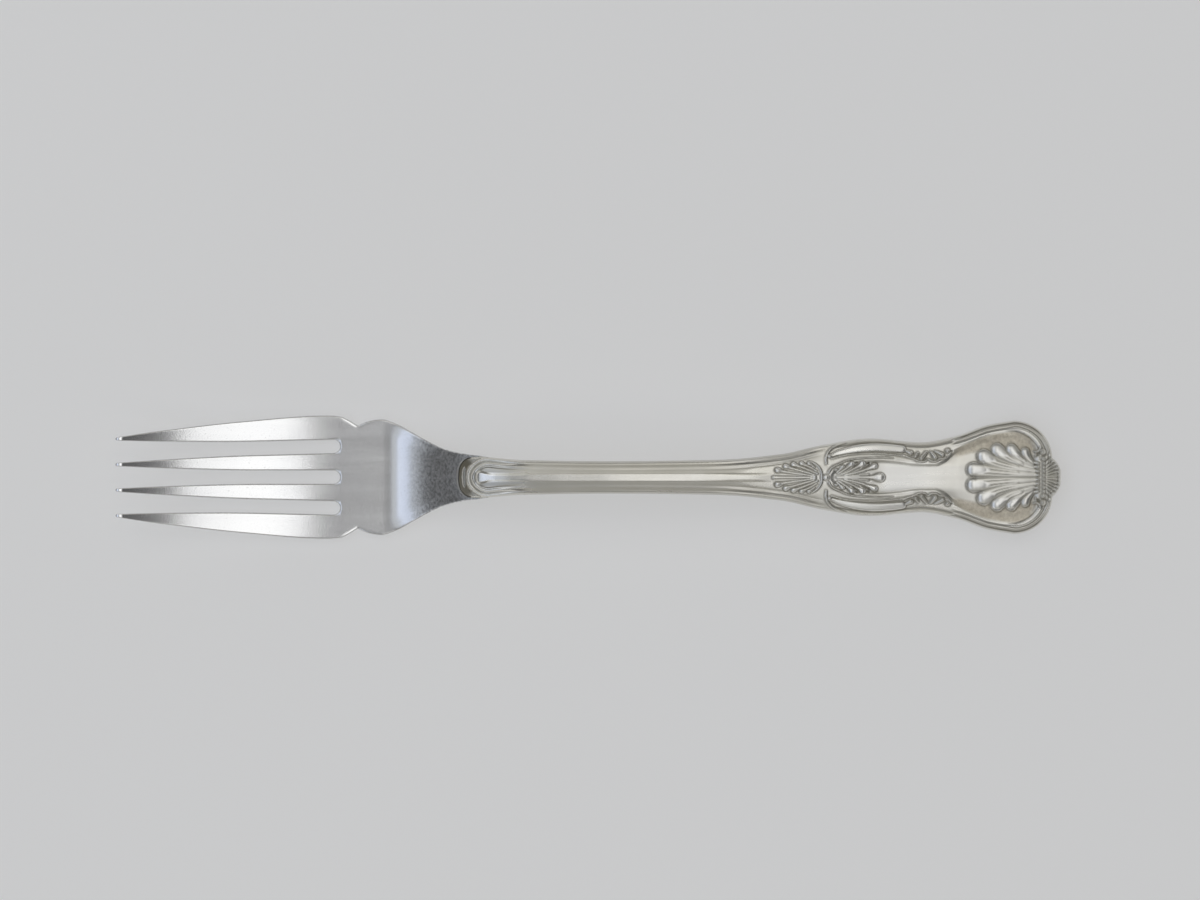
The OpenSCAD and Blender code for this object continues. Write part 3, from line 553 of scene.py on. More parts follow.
# Its floor is dull ground in the tail, apart from the rubbed middle, which widens up to a place
GROUND_SPANS, GROUND_SIDE = ((162.6, 165), (179.8, 180.5)), (0.05, 0.5)
RUBBED_R, RUBBED_S, RUBBED_END, RUBBED_WIDEN, RUBBED_SIDE = 3.35, 163, 168, 0.24, (-0.1, 0.9)
GROUND_SHELL, GROUND_LEAF = (-0.15, 0.1), (-0.1, 0.1)


def sunk_field(x, y):
    """Depth of the field inside the borders, and where its floor is dull ground."""
    u = np.clip(curve(FIELD, x) - y, 0, FAR)
    steps = FIRST_STEP * smooth(*FIRST_SIDE, u) + FIELD_DEPTH * smooth(*SECOND_SIDE, u)
    depth = mix(steps, FIELD_DEPTH * smooth(*COVE_SIDE, u), smooth(*COVE_START, x))
    depth *= mix(SHALLOW, 1, smooth(*FIELD_DEEPER, x)) * within(*FIELD_SPANS, x)
    rubbed = RUBBED_R + RUBBED_WIDEN * (np.minimum(x, RUBBED_END) - RUBBED_S)
    ground = smooth(*GROUND_SIDE, u) * within(*GROUND_SPANS, x) * smooth(*RUBBED_SIDE, y - rubbed)
    return depth, ground


# Veins are grooves in the lobes and turn into ribs towards the hinge
GROOVE, GROOVE_END, GROOVE_SIDE = 0.05, (174, 177), (-0.07, 0.05)
LOBE_SIDE, BULB_RISE = (-0.2, -0.05), (0.3, 0.45)
# A thin line is sunk round every form, and painted shade lies in a thin line round the fans and along the
# grooves in the lobes
OUTLINE, OUTLINE_PLACE, OUTLINE_WIDTH = 0.05, 0.02, 0.18
SHADE, SHADE_PLACE, SHADE_WIDTH, GROOVE_SHADE = 0.75, 0.06, 0.17, 0.8
# Ribs fan out over the end lobe from a point on the axis, at this angle from one to the next
RIB, RIB_START, RIB_CENTRE, RIB_ANGLE = 0.1, (181.4, 182.7), 179.6, 0.152
# Painted highlights, a paler colour where highlights fall: the knob, the fans' middle and the field, and the
# tops of forms
PAINTED_HIGHLIGHT_PATCHES = [
    (1, (70.6, 71.1), (73.2, 74.6), (0.6, 1.1)),
    (0.5, (131, 134), (146, 150), (0.7, 1.6)),
    (0.9, (148, 151), (153, 165), (2.6, 3.4)),
]
BULB_PAINTED_HIGHLIGHT, BULB_TOP, BULB_HIGHLIGHT_END = 0.8, (0.3, 0.5), (178, 180)
FAN_PAINTED_HIGHLIGHT, FAN_TOP = 0.9, (0.14, 0.26)
BAND_PAINTED_HIGHLIGHT, BAND_TOP = 0.8, (0.16, 0.28)


def relief(x, y, d, scale):
    """Height of the ornament over the plain face, and the tints: dull ground, painted highlight and painted
    shade.
    """
    depth, ground = sunk_field(x, y)
    z = stem_relief(x, y, d) + border_relief(x, y, d) - depth
    leaves, leaf_gap = raised(x, y, BORDER + CLASPS + HINGE, LEAF_FORM, scale)
    fans, fan_gap = raised(x, y, LEFT_FAN + RIGHT_FAN, FAN_FORM, scale)
    band, band_gap = raised(x, y, BAND, BAND_FORM, scale)
    flutes, flute_gap = raised(x, y, FLUTES, FLUTE_FORM, scale)
    bulbs, bulb_gap = raised(x, y, BULBS, BULB_FORM, scale)
    veins, vein_gap = raised(x, y, VEINS, VEIN_FORM, scale)
    leaf_gap = np.minimum(np.minimum(leaf_gap, fan_gap), band_gap)
    shell_gap = np.minimum(flute_gap, bulb_gap)

    ribbed = smooth(*GROOVE_END, x)
    groove = (1 - smooth(*GROOVE_SIDE, vein_gap)) * (1 - smooth(*LOBE_SIDE, shell_gap))
    groove *= (1 - ribbed) * (1 - smooth(*BULB_RISE, bulbs))
    shell = np.maximum(flutes, bulbs) - GROOVE * scale * groove
    shell = np.maximum(shell, veins * (shell_gap < 0) * ribbed)
    z += np.maximum(np.maximum(leaves, fans), band)
    z = np.where(shell > 0, np.maximum(z, shell - FIELD_DEPTH), z)
    near = np.minimum(leaf_gap, shell_gap)
    z -= OUTLINE * scale * just_outside(near, OUTLINE_PLACE, OUTLINE_WIDTH)
    for s, c, pit_r, pit in PITS:
        z -= scale * pit * np.clip(1 - ((x - s) ** 2 + (y - c) ** 2) / pit_r**2, 0, 1)
    ribs = smooth(*RIB_START, x) * (1 - smooth(0.9 * LOBE_R, LOBE_R, y))
    z += RIB * ribs * np.cos(2 * np.pi * (np.arctan2(y, x - RIB_CENTRE) / RIB_ANGLE - 0.5))

    ground *= smooth(*GROUND_SHELL, shell_gap) * smooth(*GROUND_LEAF, leaf_gap)
    # Painted shade: a dark line just outside the fans, and along the grooves in the lobes
    shade = SHADE * just_outside(fan_gap, SHADE_PLACE, SHADE_WIDTH)
    shade = np.maximum(shade, GROOVE_SHADE * groove)
    # Painted highlights on the patches and on the tops of the bulbs, fans and band
    painted_highlight = [patch(x, y, *spot) for spot in PAINTED_HIGHLIGHT_PATCHES]
    painted_highlight.append(BULB_PAINTED_HIGHLIGHT * smooth(*BULB_TOP, bulbs / scale) * (1 - smooth(*BULB_HIGHLIGHT_END, x)))
    painted_highlight.append(FAN_PAINTED_HIGHLIGHT * smooth(*FAN_TOP, fans / scale))
    painted_highlight.append(BAND_PAINTED_HIGHLIGHT * smooth(*BAND_TOP, band / scale))
    return z, ground, np.maximum.reduce(painted_highlight), shade


# The plain face under the ornament: a dome, and along the stem a low roof with a flat crest
ROOF_START, ROOF_END, CREST_R, ROOF_POWER = (76, 84), (118, 136), 0.62, 1.15
# Share of the thickness that stands up in the dome, and length of the rounding at the fork's end
DOME, END_ROUND = 0.38, 0.6


def plain_face(x, y):
    r = np.maximum(handle_r(x), np.abs(y))
    q = np.abs(y) / r
    bend = mix(q**2, np.maximum(q, CREST_R / r) ** ROOF_POWER, within(ROOF_START, ROOF_END, x))
    return handle_half(x) * (1 - DOME * bend) * round_up((FORK - x) / END_ROUND)


# Rows of points along a shell, in steps of its own: [end, steps]
ROW_STEPS = [(MOUTH_S + 5, 0.7), (MOUTH_S + 12, 2.4), (122, 8), (126, 2), (TAIL_S, 1)]
CORNER_LEN, LOBE_EDGE = 10.5, 3.2
# Distances of the first points of a row from the edge, on rows that are wide enough for them
EDGE_STEPS = np.array([0, 0.012, 0.04, 0.09, 0.16, 0.25, 0.35, 0.46])
WIDE_ROW = 3.1
# Shares of the half width at which the plain inner face has its points
INNER_SHARES = np.array([1, 0.97, 0.88, 0.7, 0.4, 0])


def shell_rows(step):
    rows, start = [], MOUTH_S
    for end, steps in ROW_STEPS:
        rows.append(np.arange(start, end, steps * step))
        start = end
    corner = np.linspace(0, np.pi / 2, int(CORNER_LEN / step))[1:]
    rows.append(TAIL_S + (BODY_END - TAIL_S) * np.sin(corner))
    first, last = math.asin((BODY_END - LOBE_S) / LOBE_LEN), math.asin(1 / LOBE_STRETCH)
    rows.append(LOBE_S + LOBE_LEN * np.sin(np.linspace(first, last, int(LOBE_EDGE / step))[1:]))
    return np.concatenate(rows)


def blurred(z, times):
    for _ in range(times):
        z = np.pad(z, 1, mode="edge")
        z = (z[:-2] + 2 * z[1:-1] + z[2:]) / 4
        z = (z[:, :-2] + 2 * z[:, 1:-1] + z[:, 2:]) / 4
    return z


# Tarnish and painted shade in the hollows: depth at which the darkening is full, and how much it is changed
# along the handle
HOLLOW, HOLLOW_EDGE, HOLLOW_BLUR = 0.09, (0.05, 0.4), 10
FAN_MORE = (0.25, (126, 128), (149, 151), (3.2, 3.8))
STEM_LESS, STEM_END, GROUND_LESS = 0.7, (112, 124), 0.6
# Darker tints on the tail's border and beside the knob, and painted shade on the flanks of the stem and
# under the lip
BORDER_TINT, TINT_SIDES, TINT_GROOVE = 0.3, ((0.12, 0.3), (1.0, 1.25)), (0.5, 0.17)
TINT_SPANS = ((163, 166), (180, 182))
TROUGH, TROUGH_SPANS, TROUGH_SIDES = 0.55, ((70.6, 71.8), (75, 82)), ((0.8, 1.1), (1.6, 2.0))
FLANK_SHADE, FLANK_END, FLANK_EDGE = 0.3, (135, 139.5), (0, 0.3)
FLANK_INNER, FLANK_WIDEN = (0.55, 3.0), (120, 130)
LIP_SHADE, LIP_WRAP, LIP_SIDE, LIP_END = 1.5, (0.1, 0.5), (-0.25, 0.1), 72


def tarnish_and_painted_shade(x, y, d, wrap, z, ground, shade):
    """Darker tint on each point of a shell with ornament of height z: tarnish and painted shade."""
    shade_and_tarnish = np.clip((blurred(z, HOLLOW_BLUR) - z) / HOLLOW, 0, 1) * smooth(*HOLLOW_EDGE, d)
    shade_and_tarnish *= 1 + patch(x, y, *FAN_MORE)
    shade_and_tarnish *= 1 - STEM_LESS * within(ROOF_START, STEM_END, x)
    shade_and_tarnish *= 1 - GROUND_LESS * ground
    tail = (BORDER_TINT * within(*TINT_SIDES, d) + bump(d, *TINT_GROOVE)) * within(*TINT_SPANS, x)
    trough = TROUGH * within(*TROUGH_SPANS, x) * within(*TROUGH_SIDES, y)
    inner = mix(*FLANK_INNER, smooth(*FLANK_WIDEN, x))
    # Painted shade: the flanks of the stem are darker
    flank_shade = FLANK_SHADE * within(ROOF_START, FLANK_END, x) * smooth(*FLANK_EDGE, y - inner)
    # Painted shade under the lip: a dark crescent where the handle's end rises from the throat
    lip_shade = LIP_SHADE * smooth(*LIP_WRAP, wrap) * (1 - smooth(*LIP_SIDE, wrap_d(x, y))) * (x < LIP_END)
    return np.maximum.reduce([shade_and_tarnish, tail, trough, flank_shade, shade, lip_shade])


# The outer face: rounding of its edge, more where it wraps round the throat, and the slope of the
# throat's end, which is steeper off its edge and has no limit beside it
EDGE_ROUND, WRAP_ROUND, RIM = 0.42, 0.2, (0.0, 0.34)
THROAT_TURN, LIMIT_WRAP = MOUTH_S + 0.6, (0.05, 0.4)
SLOPE_Z, SLOPE, SLOPE_EDGE, STEEP, NO_LIMIT = 1.3, 0.22, 1.4, 5, 9
# The tail's border slopes down outside its ridge, and is raised at the corners before the hinge
BEVEL, BEVEL_EDGE, BEVEL_SPANS = 0.36, 1.15, ((163, 168), (180.5, 182.5))
CORNER_Z, CORNER_SPANS = 2.5, ((173.5, 178), (181.4, 182.8))
# Height of the lips over the middle plane, the least height inside them and over the table
LIP_Z, LEAST_Z, TABLE_GAP = 0.006, 0.02, 0.03
# The inner face: how much thinner the filling is than the handle, and its edge
WALL, INNER_EDGE, INNER_LEAST = 0.72, 0.8 * SHEET, 0.15


def ledge(x):
    """Height of a shell over the throat plate that it lies on."""
    return plate_half(x) + LEDGE_GAP


def outer_face(rows, x, y, d, wrap, ornament):
    """Height of the outer face over the middle plane."""
    limit = SLOPE_Z + SLOPE * d + STEEP * np.maximum(0, d - SLOPE_EDGE)
    limit += NO_LIMIT * (1 - smooth(*LIMIT_WRAP, wrap))
    z = plain_face(x, y) * round_up(d / (EDGE_ROUND + WRAP_ROUND * wrap))
    z -= BEVEL * np.clip(BEVEL_EDGE - d, 0, FAR) * within(*BEVEL_SPANS, x)
    z = np.minimum(z, limit) + ornament * round_up((FORK - x) / END_ROUND)
    corner = within(*CORNER_SPANS, x) * smooth(*CORNER, y)
    z = np.maximum(z, mix(z, CORNER_Z, corner * border_ridge(x, d)))
    z = np.maximum(z, np.where(x < LEDGE_END, ledge(x), 0))
    z[0] = ledge(x[0])
    z[:, 0] = np.where(rows > rows[0], LIP_Z, z[:, 0])
    z[1:, 1:] = np.maximum(z[1:, 1:], LEAST_Z)
    return z


def inner_face(rows):
    """Points of the plain inner face on both sides, one sheet under the outer one."""
    shares = np.concatenate([-INNER_SHARES, INNER_SHARES[-2::-1]])
    r = handle_r(rows)[:, None] - SHEET
    y = r * shares
    bow = bow_at(y * MOUTH_R / r)
    bow[:, [0, 1, -2, -1]] = 0
    left = bow_left(rows)[:, None]
    s = MOUTH_S + (rows[:, None] - MOUTH_S) * (HANDLE - SHEET) / HANDLE
    x = s + SHEET * left - BOW * left * bow
    wall = (1 - WALL / handle_half(rows))[:, None]
    edge = (edge_d(x, y) - INNER_EDGE) / EDGE_ROUND
    z = plain_face(rows[:, None], y) * wall * round_up(np.maximum(INNER_LEAST, edge))
    z = np.maximum(z, np.where(x < LEDGE_END, ledge(x), LEAST_Z))
    z[0] = ledge(x[0])
    z[1:, [0, -1]] = LIP_Z
    z[-1] = LIP_Z
    return x, y, z


def outer_grid(rows, columns):
    """Places of the outer face's points on one side of the fork, each row from the edge to the axis."""
    r = handle_r(rows)[:, None]
    edge = EDGE_STEPS * np.minimum(1, r / WIDE_ROW)
    m = columns - len(EDGE_STEPS) + 1
    inner = (r - edge[:, -1:]) * (1 - np.arange(1, m + 1) / m)
    y = np.hstack([r - edge, inner])
    x = rows[:, None] - BOW * bow_left(rows)[:, None] * bow_at(y * MOUTH_R / r)
    return x, y


def mirrored(a, sign=1):
    """Columns for both sides of the fork from those of one side, which end on the axis."""
    return np.hstack([sign * a, a[:, -2::-1]])


def to_points(x, y, z):
    """Points in the frame's millimetres from places along the fork and heights over the middle plane."""
    return np.stack([x - FORK / 2, y, mid_z(x) + z], 2).reshape(-1, 3)


def grid_faces(start, n_rows, n):
    """Faces of a grid of points that are counted row by row from start."""
    i = start + np.arange(n_rows - 1)[:, None] * n + np.arange(n - 1)[None, :]
    return np.stack([i, i + n, i + n + 1, i + 1], 2).reshape(-1, 4)


def end_faces(outer, n, inner, m):
    """Faces between a row of n points from outer on and a shorter row of m points from inner on."""
    faces, last = [], 0
    for j in range(n - 1):
        reached = round((j + 1) * (m - 1) / (n - 1))
        face = [outer + j, outer + j + 1, inner + reached]
        faces.append(face if reached == last else [*face, inner + last])
        last = reached
    return faces


def add_piece(name, mesh):
    mesh.polygons.foreach_set("use_smooth", np.ones(len(mesh.polygons), bool))
    piece = bpy.data.objects.new(name, mesh)
    bpy.context.scene.collection.objects.link(piece)
    return piece


def make_shell(name, up, step, columns, scale):
    """A half shell: the ornamented outer face, the plain inner face and the lips between them."""
    rows = shell_rows(step)
    x, y = outer_grid(rows, columns)
    d = edge_d(x, y)
    ahead = x - THROAT_TURN
    wrap = np.where(ahead < 0, ahead**2 / (ahead**2 + y**2 + 1e-9), 0)
    ornament, ground, painted_highlight, shade = relief(x, y, d, scale)
    ornament *= smooth(*RIM, d)
    # Tarnish and painted shade, as a darker tint
    shade_and_tarnish = tarnish_and_painted_shade(x, y, d, wrap, ornament, ground, shade)
    z = outer_face(rows, x, y, d, wrap, ornament)
    if up < 0:
        z += np.minimum(0, mid_z(x) - z - TABLE_GAP)

    outer = to_points(mirrored(x), mirrored(y, -1), up * mirrored(z))
    inner_x, inner_y, inner_z = inner_face(rows)
    inner = to_points(inner_x, inner_y, up * inner_z)
    n_rows, n, m = len(rows), 2 * columns + 1, inner_x.shape[1]
    start = len(outer)
    faces = grid_faces(0, n_rows, n).tolist()
    faces += grid_faces(start, n_rows, m)[:, [0, 3, 2, 1]].tolist()
    i = np.arange(n_rows - 1)
    a, b = i * n, start + i * m
    faces += np.stack([a, b, b + m, a + n], 1).tolist()
    a, b = a + n - 1, b + m - 1
    faces += np.stack([a, a + n, b + m, b], 1).tolist()
    for row, turn in ((0, 1), (n_rows - 1, -1)):
        faces += [face[::turn] for face in end_faces(row * n, n, start + row * m, m)]
    if up > 0:
        faces = [face[::-1] for face in faces]

    mesh = bpy.data.meshes.new(name)
    mesh.from_pydata((np.vstack([outer, inner]) * MM).tolist(), [], faces)
    # Tints for the handle's colour: tarnish with painted shade, dull ground and painted highlights
    for label, tint in (("painted_shade_and_tarnish", shade_and_tarnish), ("ground", ground), ("painted_highlight", painted_highlight)):
        values = np.concatenate([mirrored(tint).ravel(), np.zeros(len(inner))])
        layer = mesh.attributes.new(label, "FLOAT", "POINT")
        layer.data.foreach_set("value", values.astype(np.float32))
    mesh.validate()
    return add_piece(name, mesh)


# The head inside the handle as [place, half width], from just before the mouth to the tang's end
LIP_BACK = 0.08
NECK_LINE = [
    [MOUTH_S - LIP_BACK, MOUTH_R],
    [MOUTH_S + SHEET - LIP_BACK, MOUTH_R - SHEET - LIP_BACK],
    [MOUTH_S + 0.25 * MOUTH_R, mix(tang_r(MOUTH_S), MOUTH_R - SHEET, 0.42)],
    [MOUTH_S + 0.4 * MOUTH_R, mix(tang_r(MOUTH_S), MOUTH_R - SHEET, 0.12)],
    [MOUTH_S + 0.6 * MOUTH_R, tang_r(MOUTH_S + 0.6 * MOUTH_R)],
    [TANG_END - TANG_W / 4, tang_r(TANG_END)],
    [TANG_END, tang_r(TANG_END) - TANG_W / 4],
]
# Distances of the first points of a row from an edge, and the number of gaps between the others
HEAD_STEPS = np.array([0, 0.015, 0.05, 0.11, 0.2, 0.31, 0.42])
HEAD_GAPS = 9
# Rounding of the edges: at most this much, as a share of half the thickness, and less at the tips
SOFT, SOFT_SHARE, SOFT_TIP, TIP_SPAN = 0.4, 0.72, 0.55, (2, 16)
LIP_SPAN, LIP_SHARP = (MOUTH_S - 1.5, MOUTH_S - 0.1), 0.9
# The tips get thinner over their last stretch
THIN_LEN, THIN = 0.72, 0.56
# The edges of the throat lie this much lower than its middle
THROAT_FALL, THROAT_SPANS, THROAT_SIDE = 0.16, ((53, 58), (63, MOUTH_S - 3)), (0, 2.6)
# Points closer than this, in metres, become one, and so do the ends of shorter edges
WELD, DEGENERATE = 2e-6, 1e-7


def strip_edges(s):
    """Edges of the inner and the outer strip of the head on one side: four distances off the axis.

    The strips are the tines, and behind the slots the two halves of the plate and the tang.
    """
    after = np.maximum(s, TIP_R)
    mid = slot_mid(np.minimum(after, SLOT_ROOT))
    root = SLOT_R * np.sqrt(np.clip(1 - ((s - SLOT_ROOT) / SLOT_R) ** 2, 0, 1))
    half = np.where(s > SLOT_ROOT, root, slot_half(after))
    out = np.where(s < NOTCH_S, curve(TINE_LINE, s), curve(THROAT_LINE, s))
    out = np.where(s > MOUTH_S - LIP_BACK, curve(NECK_LINE, s), out)
    split = slot_mid(SLOT_ROOT) / HEAD_R * out
    behind = s >= TINE - 1e-9
    inner = [np.where(behind, 0, half), np.where(behind, split, mid - half)]
    outer = [np.where(behind, split, mid + half), out]
    reach = TIP_R * round_up(s / TIP_R)
    inner_tip, outer_tip = PITCH_TIP / 2, OUTER_TIP - TIP_R
    tips = [inner_tip - reach, inner_tip + reach, outer_tip - reach, outer_tip + reach]
    return np.where(s < TIP_R, tips, inner + outer)


def head_outlines():
    """The edges of both strips as rows of points."""
    tip = TIP_R * (1 - np.cos(np.linspace(0, np.pi / 2, 9)))[:-1]
    root = SLOT_ROOT + SLOT_R * np.sin(np.linspace(0.1, np.pi / 2, 16))
    slot = np.concatenate([tip, np.linspace(TIP_R, SLOT_ROOT, 130), root])
    throat = np.linspace(NOTCH_S + 0.2, MOUTH_S - 0.1, 90)
    side = np.concatenate([tip, np.linspace(TIP_R, NOTCH_S, 120), throat])
    return [np.stack([s, strip_edges(s)[i]], 1) for i, s in enumerate([slot, slot, slot, side])]


def head_rows():
    rows = [
        TIP_R * (1 - np.cos(np.linspace(0, np.pi / 2, 7))),
        np.arange(0.8, SLOT_ROOT - 0.3, 0.7),
        SLOT_ROOT + SLOT_R * np.sin(np.linspace(0, np.pi / 2, 13)),
        TINE + np.array([0.02, 0.06, 0.12, 0.2, 0.32, 0.5, 0.75]),
        np.arange(TINE + 1.1, MOUTH_S - 0.2, 0.4),
        MOUTH_S + np.array([-LIP_BACK, 0.1, 0.42, 1.06, 1.7, 2.55]),
        np.linspace(MOUTH_S + 4, TANG_END - TANG_W / 4, 18),
        [TANG_END],
    ]
    return np.concatenate(rows)


def strip_grid(rows, low, high, outlines):
    """Places of a strip's points between its two edges, and half its thickness there."""
    width = (high - low)[:, None]
    edge = HEAD_STEPS * np.minimum(1, width)
    middle = (width - 2 * edge[:, -1:]) * (np.arange(1, HEAD_GAPS) / HEAD_GAPS)
    y = np.hstack([low[:, None] + edge, low[:, None] + edge[:, -1:] + middle, high[:, None] - edge[:, ::-1]])
    x = np.repeat(rows[:, None], y.shape[1], 1)
    d = np.minimum.reduce([to_path(x, y, line) for line in outlines])
    half = plate_half(x)
    soft = np.minimum(SOFT, SOFT_SHARE * half) * mix(SOFT_TIP, 1, smooth(*TIP_SPAN, x))
    soft *= 1 - LIP_SHARP * smooth(*LIP_SPAN, x)
    z = half - soft * (1 - round_up(d / soft)) - THIN * np.maximum(0, THIN_LEN - x)
    z -= THROAT_FALL * within(*THROAT_SPANS, x) * (1 - smooth(*THROAT_SIDE, d))
    return x, y, z


def turned(faces, turn):
    """Faces as a list, with their points in the other order if turn is true."""
    return (faces[:, ::-1] if turn else faces).tolist()


def make_head(name):
    rows = head_rows()
    edges = strip_edges(rows)
    outlines = head_outlines()
    points, faces = [], []
    every_row = np.arange(len(rows) - 1)
    slot_rows = every_row[rows[:-1] < TINE - 1e-6]
    for low, high, outer_rows in ((edges[0], edges[1], slot_rows), (edges[2], edges[3], every_row)):
        x, y, z = strip_grid(rows, low, high, outlines)
        n_rows, n = x.shape
        below = x.size
        for side in (1, -1):
            start = len(points)
            points += to_points(x, side * y, z).tolist() + to_points(x, side * y, -z).tolist()
            face = grid_faces(start, n_rows, n)
            faces += turned(face, side < 0) + turned(face + below, side > 0)
            for column, wall_rows in ((0, slot_rows), (n - 1, outer_rows)):
                i = start + wall_rows * n + column
                wall = np.stack([i, i + n, i + n + below, i + below], 1)
                faces += turned(wall, (column == 0) == (side > 0))
            i = start + (n_rows - 1) * n + np.arange(n - 1)
            faces += turned(np.stack([i, i + 1, i + 1 + below, i + below], 1), side > 0)
    mesh = bpy.data.meshes.new(name)
    mesh.from_pydata((np.array(points) * MM).tolist(), [], faces)
    bm = bmesh.new()
    bm.from_mesh(mesh)
    bmesh.ops.remove_doubles(bm, verts=bm.verts, dist=WELD)
    bmesh.ops.dissolve_degenerate(bm, edges=bm.edges, dist=DEGENERATE)
    bmesh.ops.recalc_face_normals(bm, faces=bm.faces)
    bm.to_mesh(mesh)
    bm.free()
    return add_piece(name, mesh)


def set_stops(node, stops):
    """Gives a colour ramp its stops: [position, grey or colour]."""
    elements = node.color_ramp.elements
    while len(elements) < len(stops):
        elements.new(0.5)
    for element, (position, tone) in zip(elements, stops):
        element.position = position
        element.color = (tone, tone, tone, 1) if isinstance(tone, (int, float)) else (*tone, 1)


class Net:
    """A small helper for building a node material."""

    def __init__(self, name):
        self.mat = bpy.data.materials.new(name)
        self.mat.use_nodes = True
        self.tree = self.mat.node_tree
        self.tree.nodes.clear()
        self.out = self.tree.nodes.new("ShaderNodeOutputMaterial")
        self.shader = self.tree.nodes.new("ShaderNodeBsdfPrincipled")
        self.tree.links.new(self.shader.outputs[0], self.out.inputs[0])

    def node(self, kind, **values):
        n = self.tree.nodes.new(kind)
        for name, value in values.items():
            n.inputs[name].default_value = value
        return n

    def link(self, a, b):
        self.tree.links.new(a, b)

    def feed(self, socket, value):
        """Links a socket, or gives it a plain number or colour."""
        if isinstance(value, bpy.types.NodeSocket):
            self.link(value, socket)
        elif isinstance(value, tuple):
            socket.default_value = (*value, 1)
        else:
            socket.default_value = value

    def set(self, name, value):
        self.feed(self.shader.inputs[name], value)

    def noise(self, stretch, size, detail=3.0, rough=0.5):
        """Noise in object coordinates, which may be stretched."""
        place = self.node("ShaderNodeTexCoord")
        mapping = self.node("ShaderNodeMapping", Scale=stretch)
        n = self.node("ShaderNodeTexNoise", Scale=size, Detail=detail, Roughness=rough)
        self.link(place.outputs["Object"], mapping.inputs["Vector"])
        self.link(mapping.outputs[0], n.inputs["Vector"])
        return n.outputs[0]

    def along(self, start, end):
        """Zero before start and one after end, in millimetres from the tine tips."""
        place = self.node("ShaderNodeTexCoord")
        split = self.node("ShaderNodeSeparateXYZ")
        step = self.node("ShaderNodeMapRange")
        step.interpolation_type = "SMOOTHSTEP"
        self.link(place.outputs["Object"], split.inputs[0])
        self.link(split.outputs[0], step.inputs[0])
        step.inputs[1].default_value = (start - FORK / 2) * MM
        step.inputs[2].default_value = (end - FORK / 2) * MM
        return step.outputs[0]

    def ramp(self, value, stops):
        n = self.node("ShaderNodeValToRGB")
        set_stops(n, stops)
        self.link(value, n.inputs[0])
        return n.outputs[0]

    def mix(self, factor, a, b, blend="MIX"):
        n = self.node("ShaderNodeMix")
        n.data_type = "RGBA"
        n.blend_type = blend
        self.feed(n.inputs[0], factor)
        self.feed(n.inputs[6], a)
        self.feed(n.inputs[7], b)
        return n.outputs[2]

    def math(self, operation, a, b):
        n = self.node("ShaderNodeMath")
        n.operation = operation
        self.feed(n.inputs[0], a)
        self.feed(n.inputs[1], b)
        return n.outputs[0]

    def attribute(self, label):
        n = self.node("ShaderNodeAttribute")
        n.attribute_name = label
        return n.outputs["Fac"]

    def bump(self, height, strength, distance, after=None):
        n = self.node("ShaderNodeBump", Strength=strength, Distance=distance)
        self.link(height, n.inputs["Height"])
        if after is not None:
            self.link(after, n.inputs["Normal"])
        return n.outputs[0]


# Stretches of noise, where the large numbers make streaks along the fork
EVEN, POLISH, HANDLE_POLISH = (1, 1, 1), (30, 700, 300), (40, 600, 300)
# Spans from the tine tips over which the head's face gets mottled and worn, and the handle softer
MOTTLED, WORN, SOFTER = (55.5, 62.5), (53.5, 59.5), (122.5, 128.5)


def head_silver():
    m = Net("head_silver")
    m.set("Metallic", 1.0)
    tone = m.ramp(m.noise(EVEN, 70), [(0.3, (0.86, 0.865, 0.87)), (0.7, (0.91, 0.91, 0.905))])
    pits = m.noise(EVEN, 3200, 2, 0.6)
    tone = m.mix(1.0, tone, m.ramp(pits, [(0.26, 0.8), (0.36, 1.0)]), "MULTIPLY")
    mottle = m.ramp(m.noise((1, 0.7, 1), 2300, 3, 0.7), [(0.34, 0.45), (0.5, 0.78), (0.64, 1.0)])
    m.set("Base Color", m.mix(m.along(*MOTTLED), tone, m.mix(1.0, tone, mottle, "MULTIPLY")))
    streaks = m.noise(POLISH, 1.0)
    rough = m.ramp(streaks, [(0.3, 0.13), (0.7, 0.17)])
    m.set("Roughness", m.math("ADD", rough, m.math("MULTIPLY", m.along(*WORN), 0.1)))
    fine = m.bump(streaks, 0.05, 0.00003)
    m.set("Normal", m.bump(pits, 0.12, 0.00004, fine))
    return m.mat


def handle_silver():
    """Silver with the shells' three tints: tarnish and painted shade in the recesses, on the stem's flanks
    and under the lip, dull ground, and painted highlights on the tops.
    """
    m = Net("handle_silver")
    m.set("Metallic", 1.0)
    shade_and_tarnish = m.attribute("painted_shade_and_tarnish")
    ground = m.attribute("ground")
    cloud = m.noise(EVEN, 160, 4)
    tone = m.ramp(cloud, [(0.3, (0.7, 0.685, 0.625)), (0.7, (0.79, 0.775, 0.725))])
    grain = m.noise(EVEN, 1500, 3, 0.65)
    matte = m.ramp(grain, [(0.3, (0.55, 0.5, 0.41)), (0.7, (0.76, 0.71, 0.6))])
    tone = m.mix(ground, tone, matte)
    # Painted highlight: a pale colour where highlights fall
    tone = m.mix(m.attribute("painted_highlight"), tone, (0.97, 0.965, 0.93))
    # Tarnish and painted shade: a dark brown grey, cloudy in strength
    dark = m.math("MULTIPLY", shade_and_tarnish, m.ramp(cloud, [(0.25, 0.52), (0.75, 0.78)]))
    m.set("Base Color", m.mix(dark, tone, (0.25, 0.23, 0.18)))
    streaks = m.noise(HANDLE_POLISH, 1.0)
    rough = m.ramp(streaks, [(0.3, 0.21), (0.7, 0.28)])
    for place, more in ((m.along(*SOFTER), 0.05), (ground, 0.12), (shade_and_tarnish, 0.15)):
        rough = m.math("ADD", rough, m.math("MULTIPLY", place, more))
    m.set("Roughness", rough)
    fine = m.bump(streaks, 0.05, 0.00003)
    m.set("Normal", m.bump(m.math("MULTIPLY", grain, ground), 0.5, 0.00012, fine))
    return m.mat


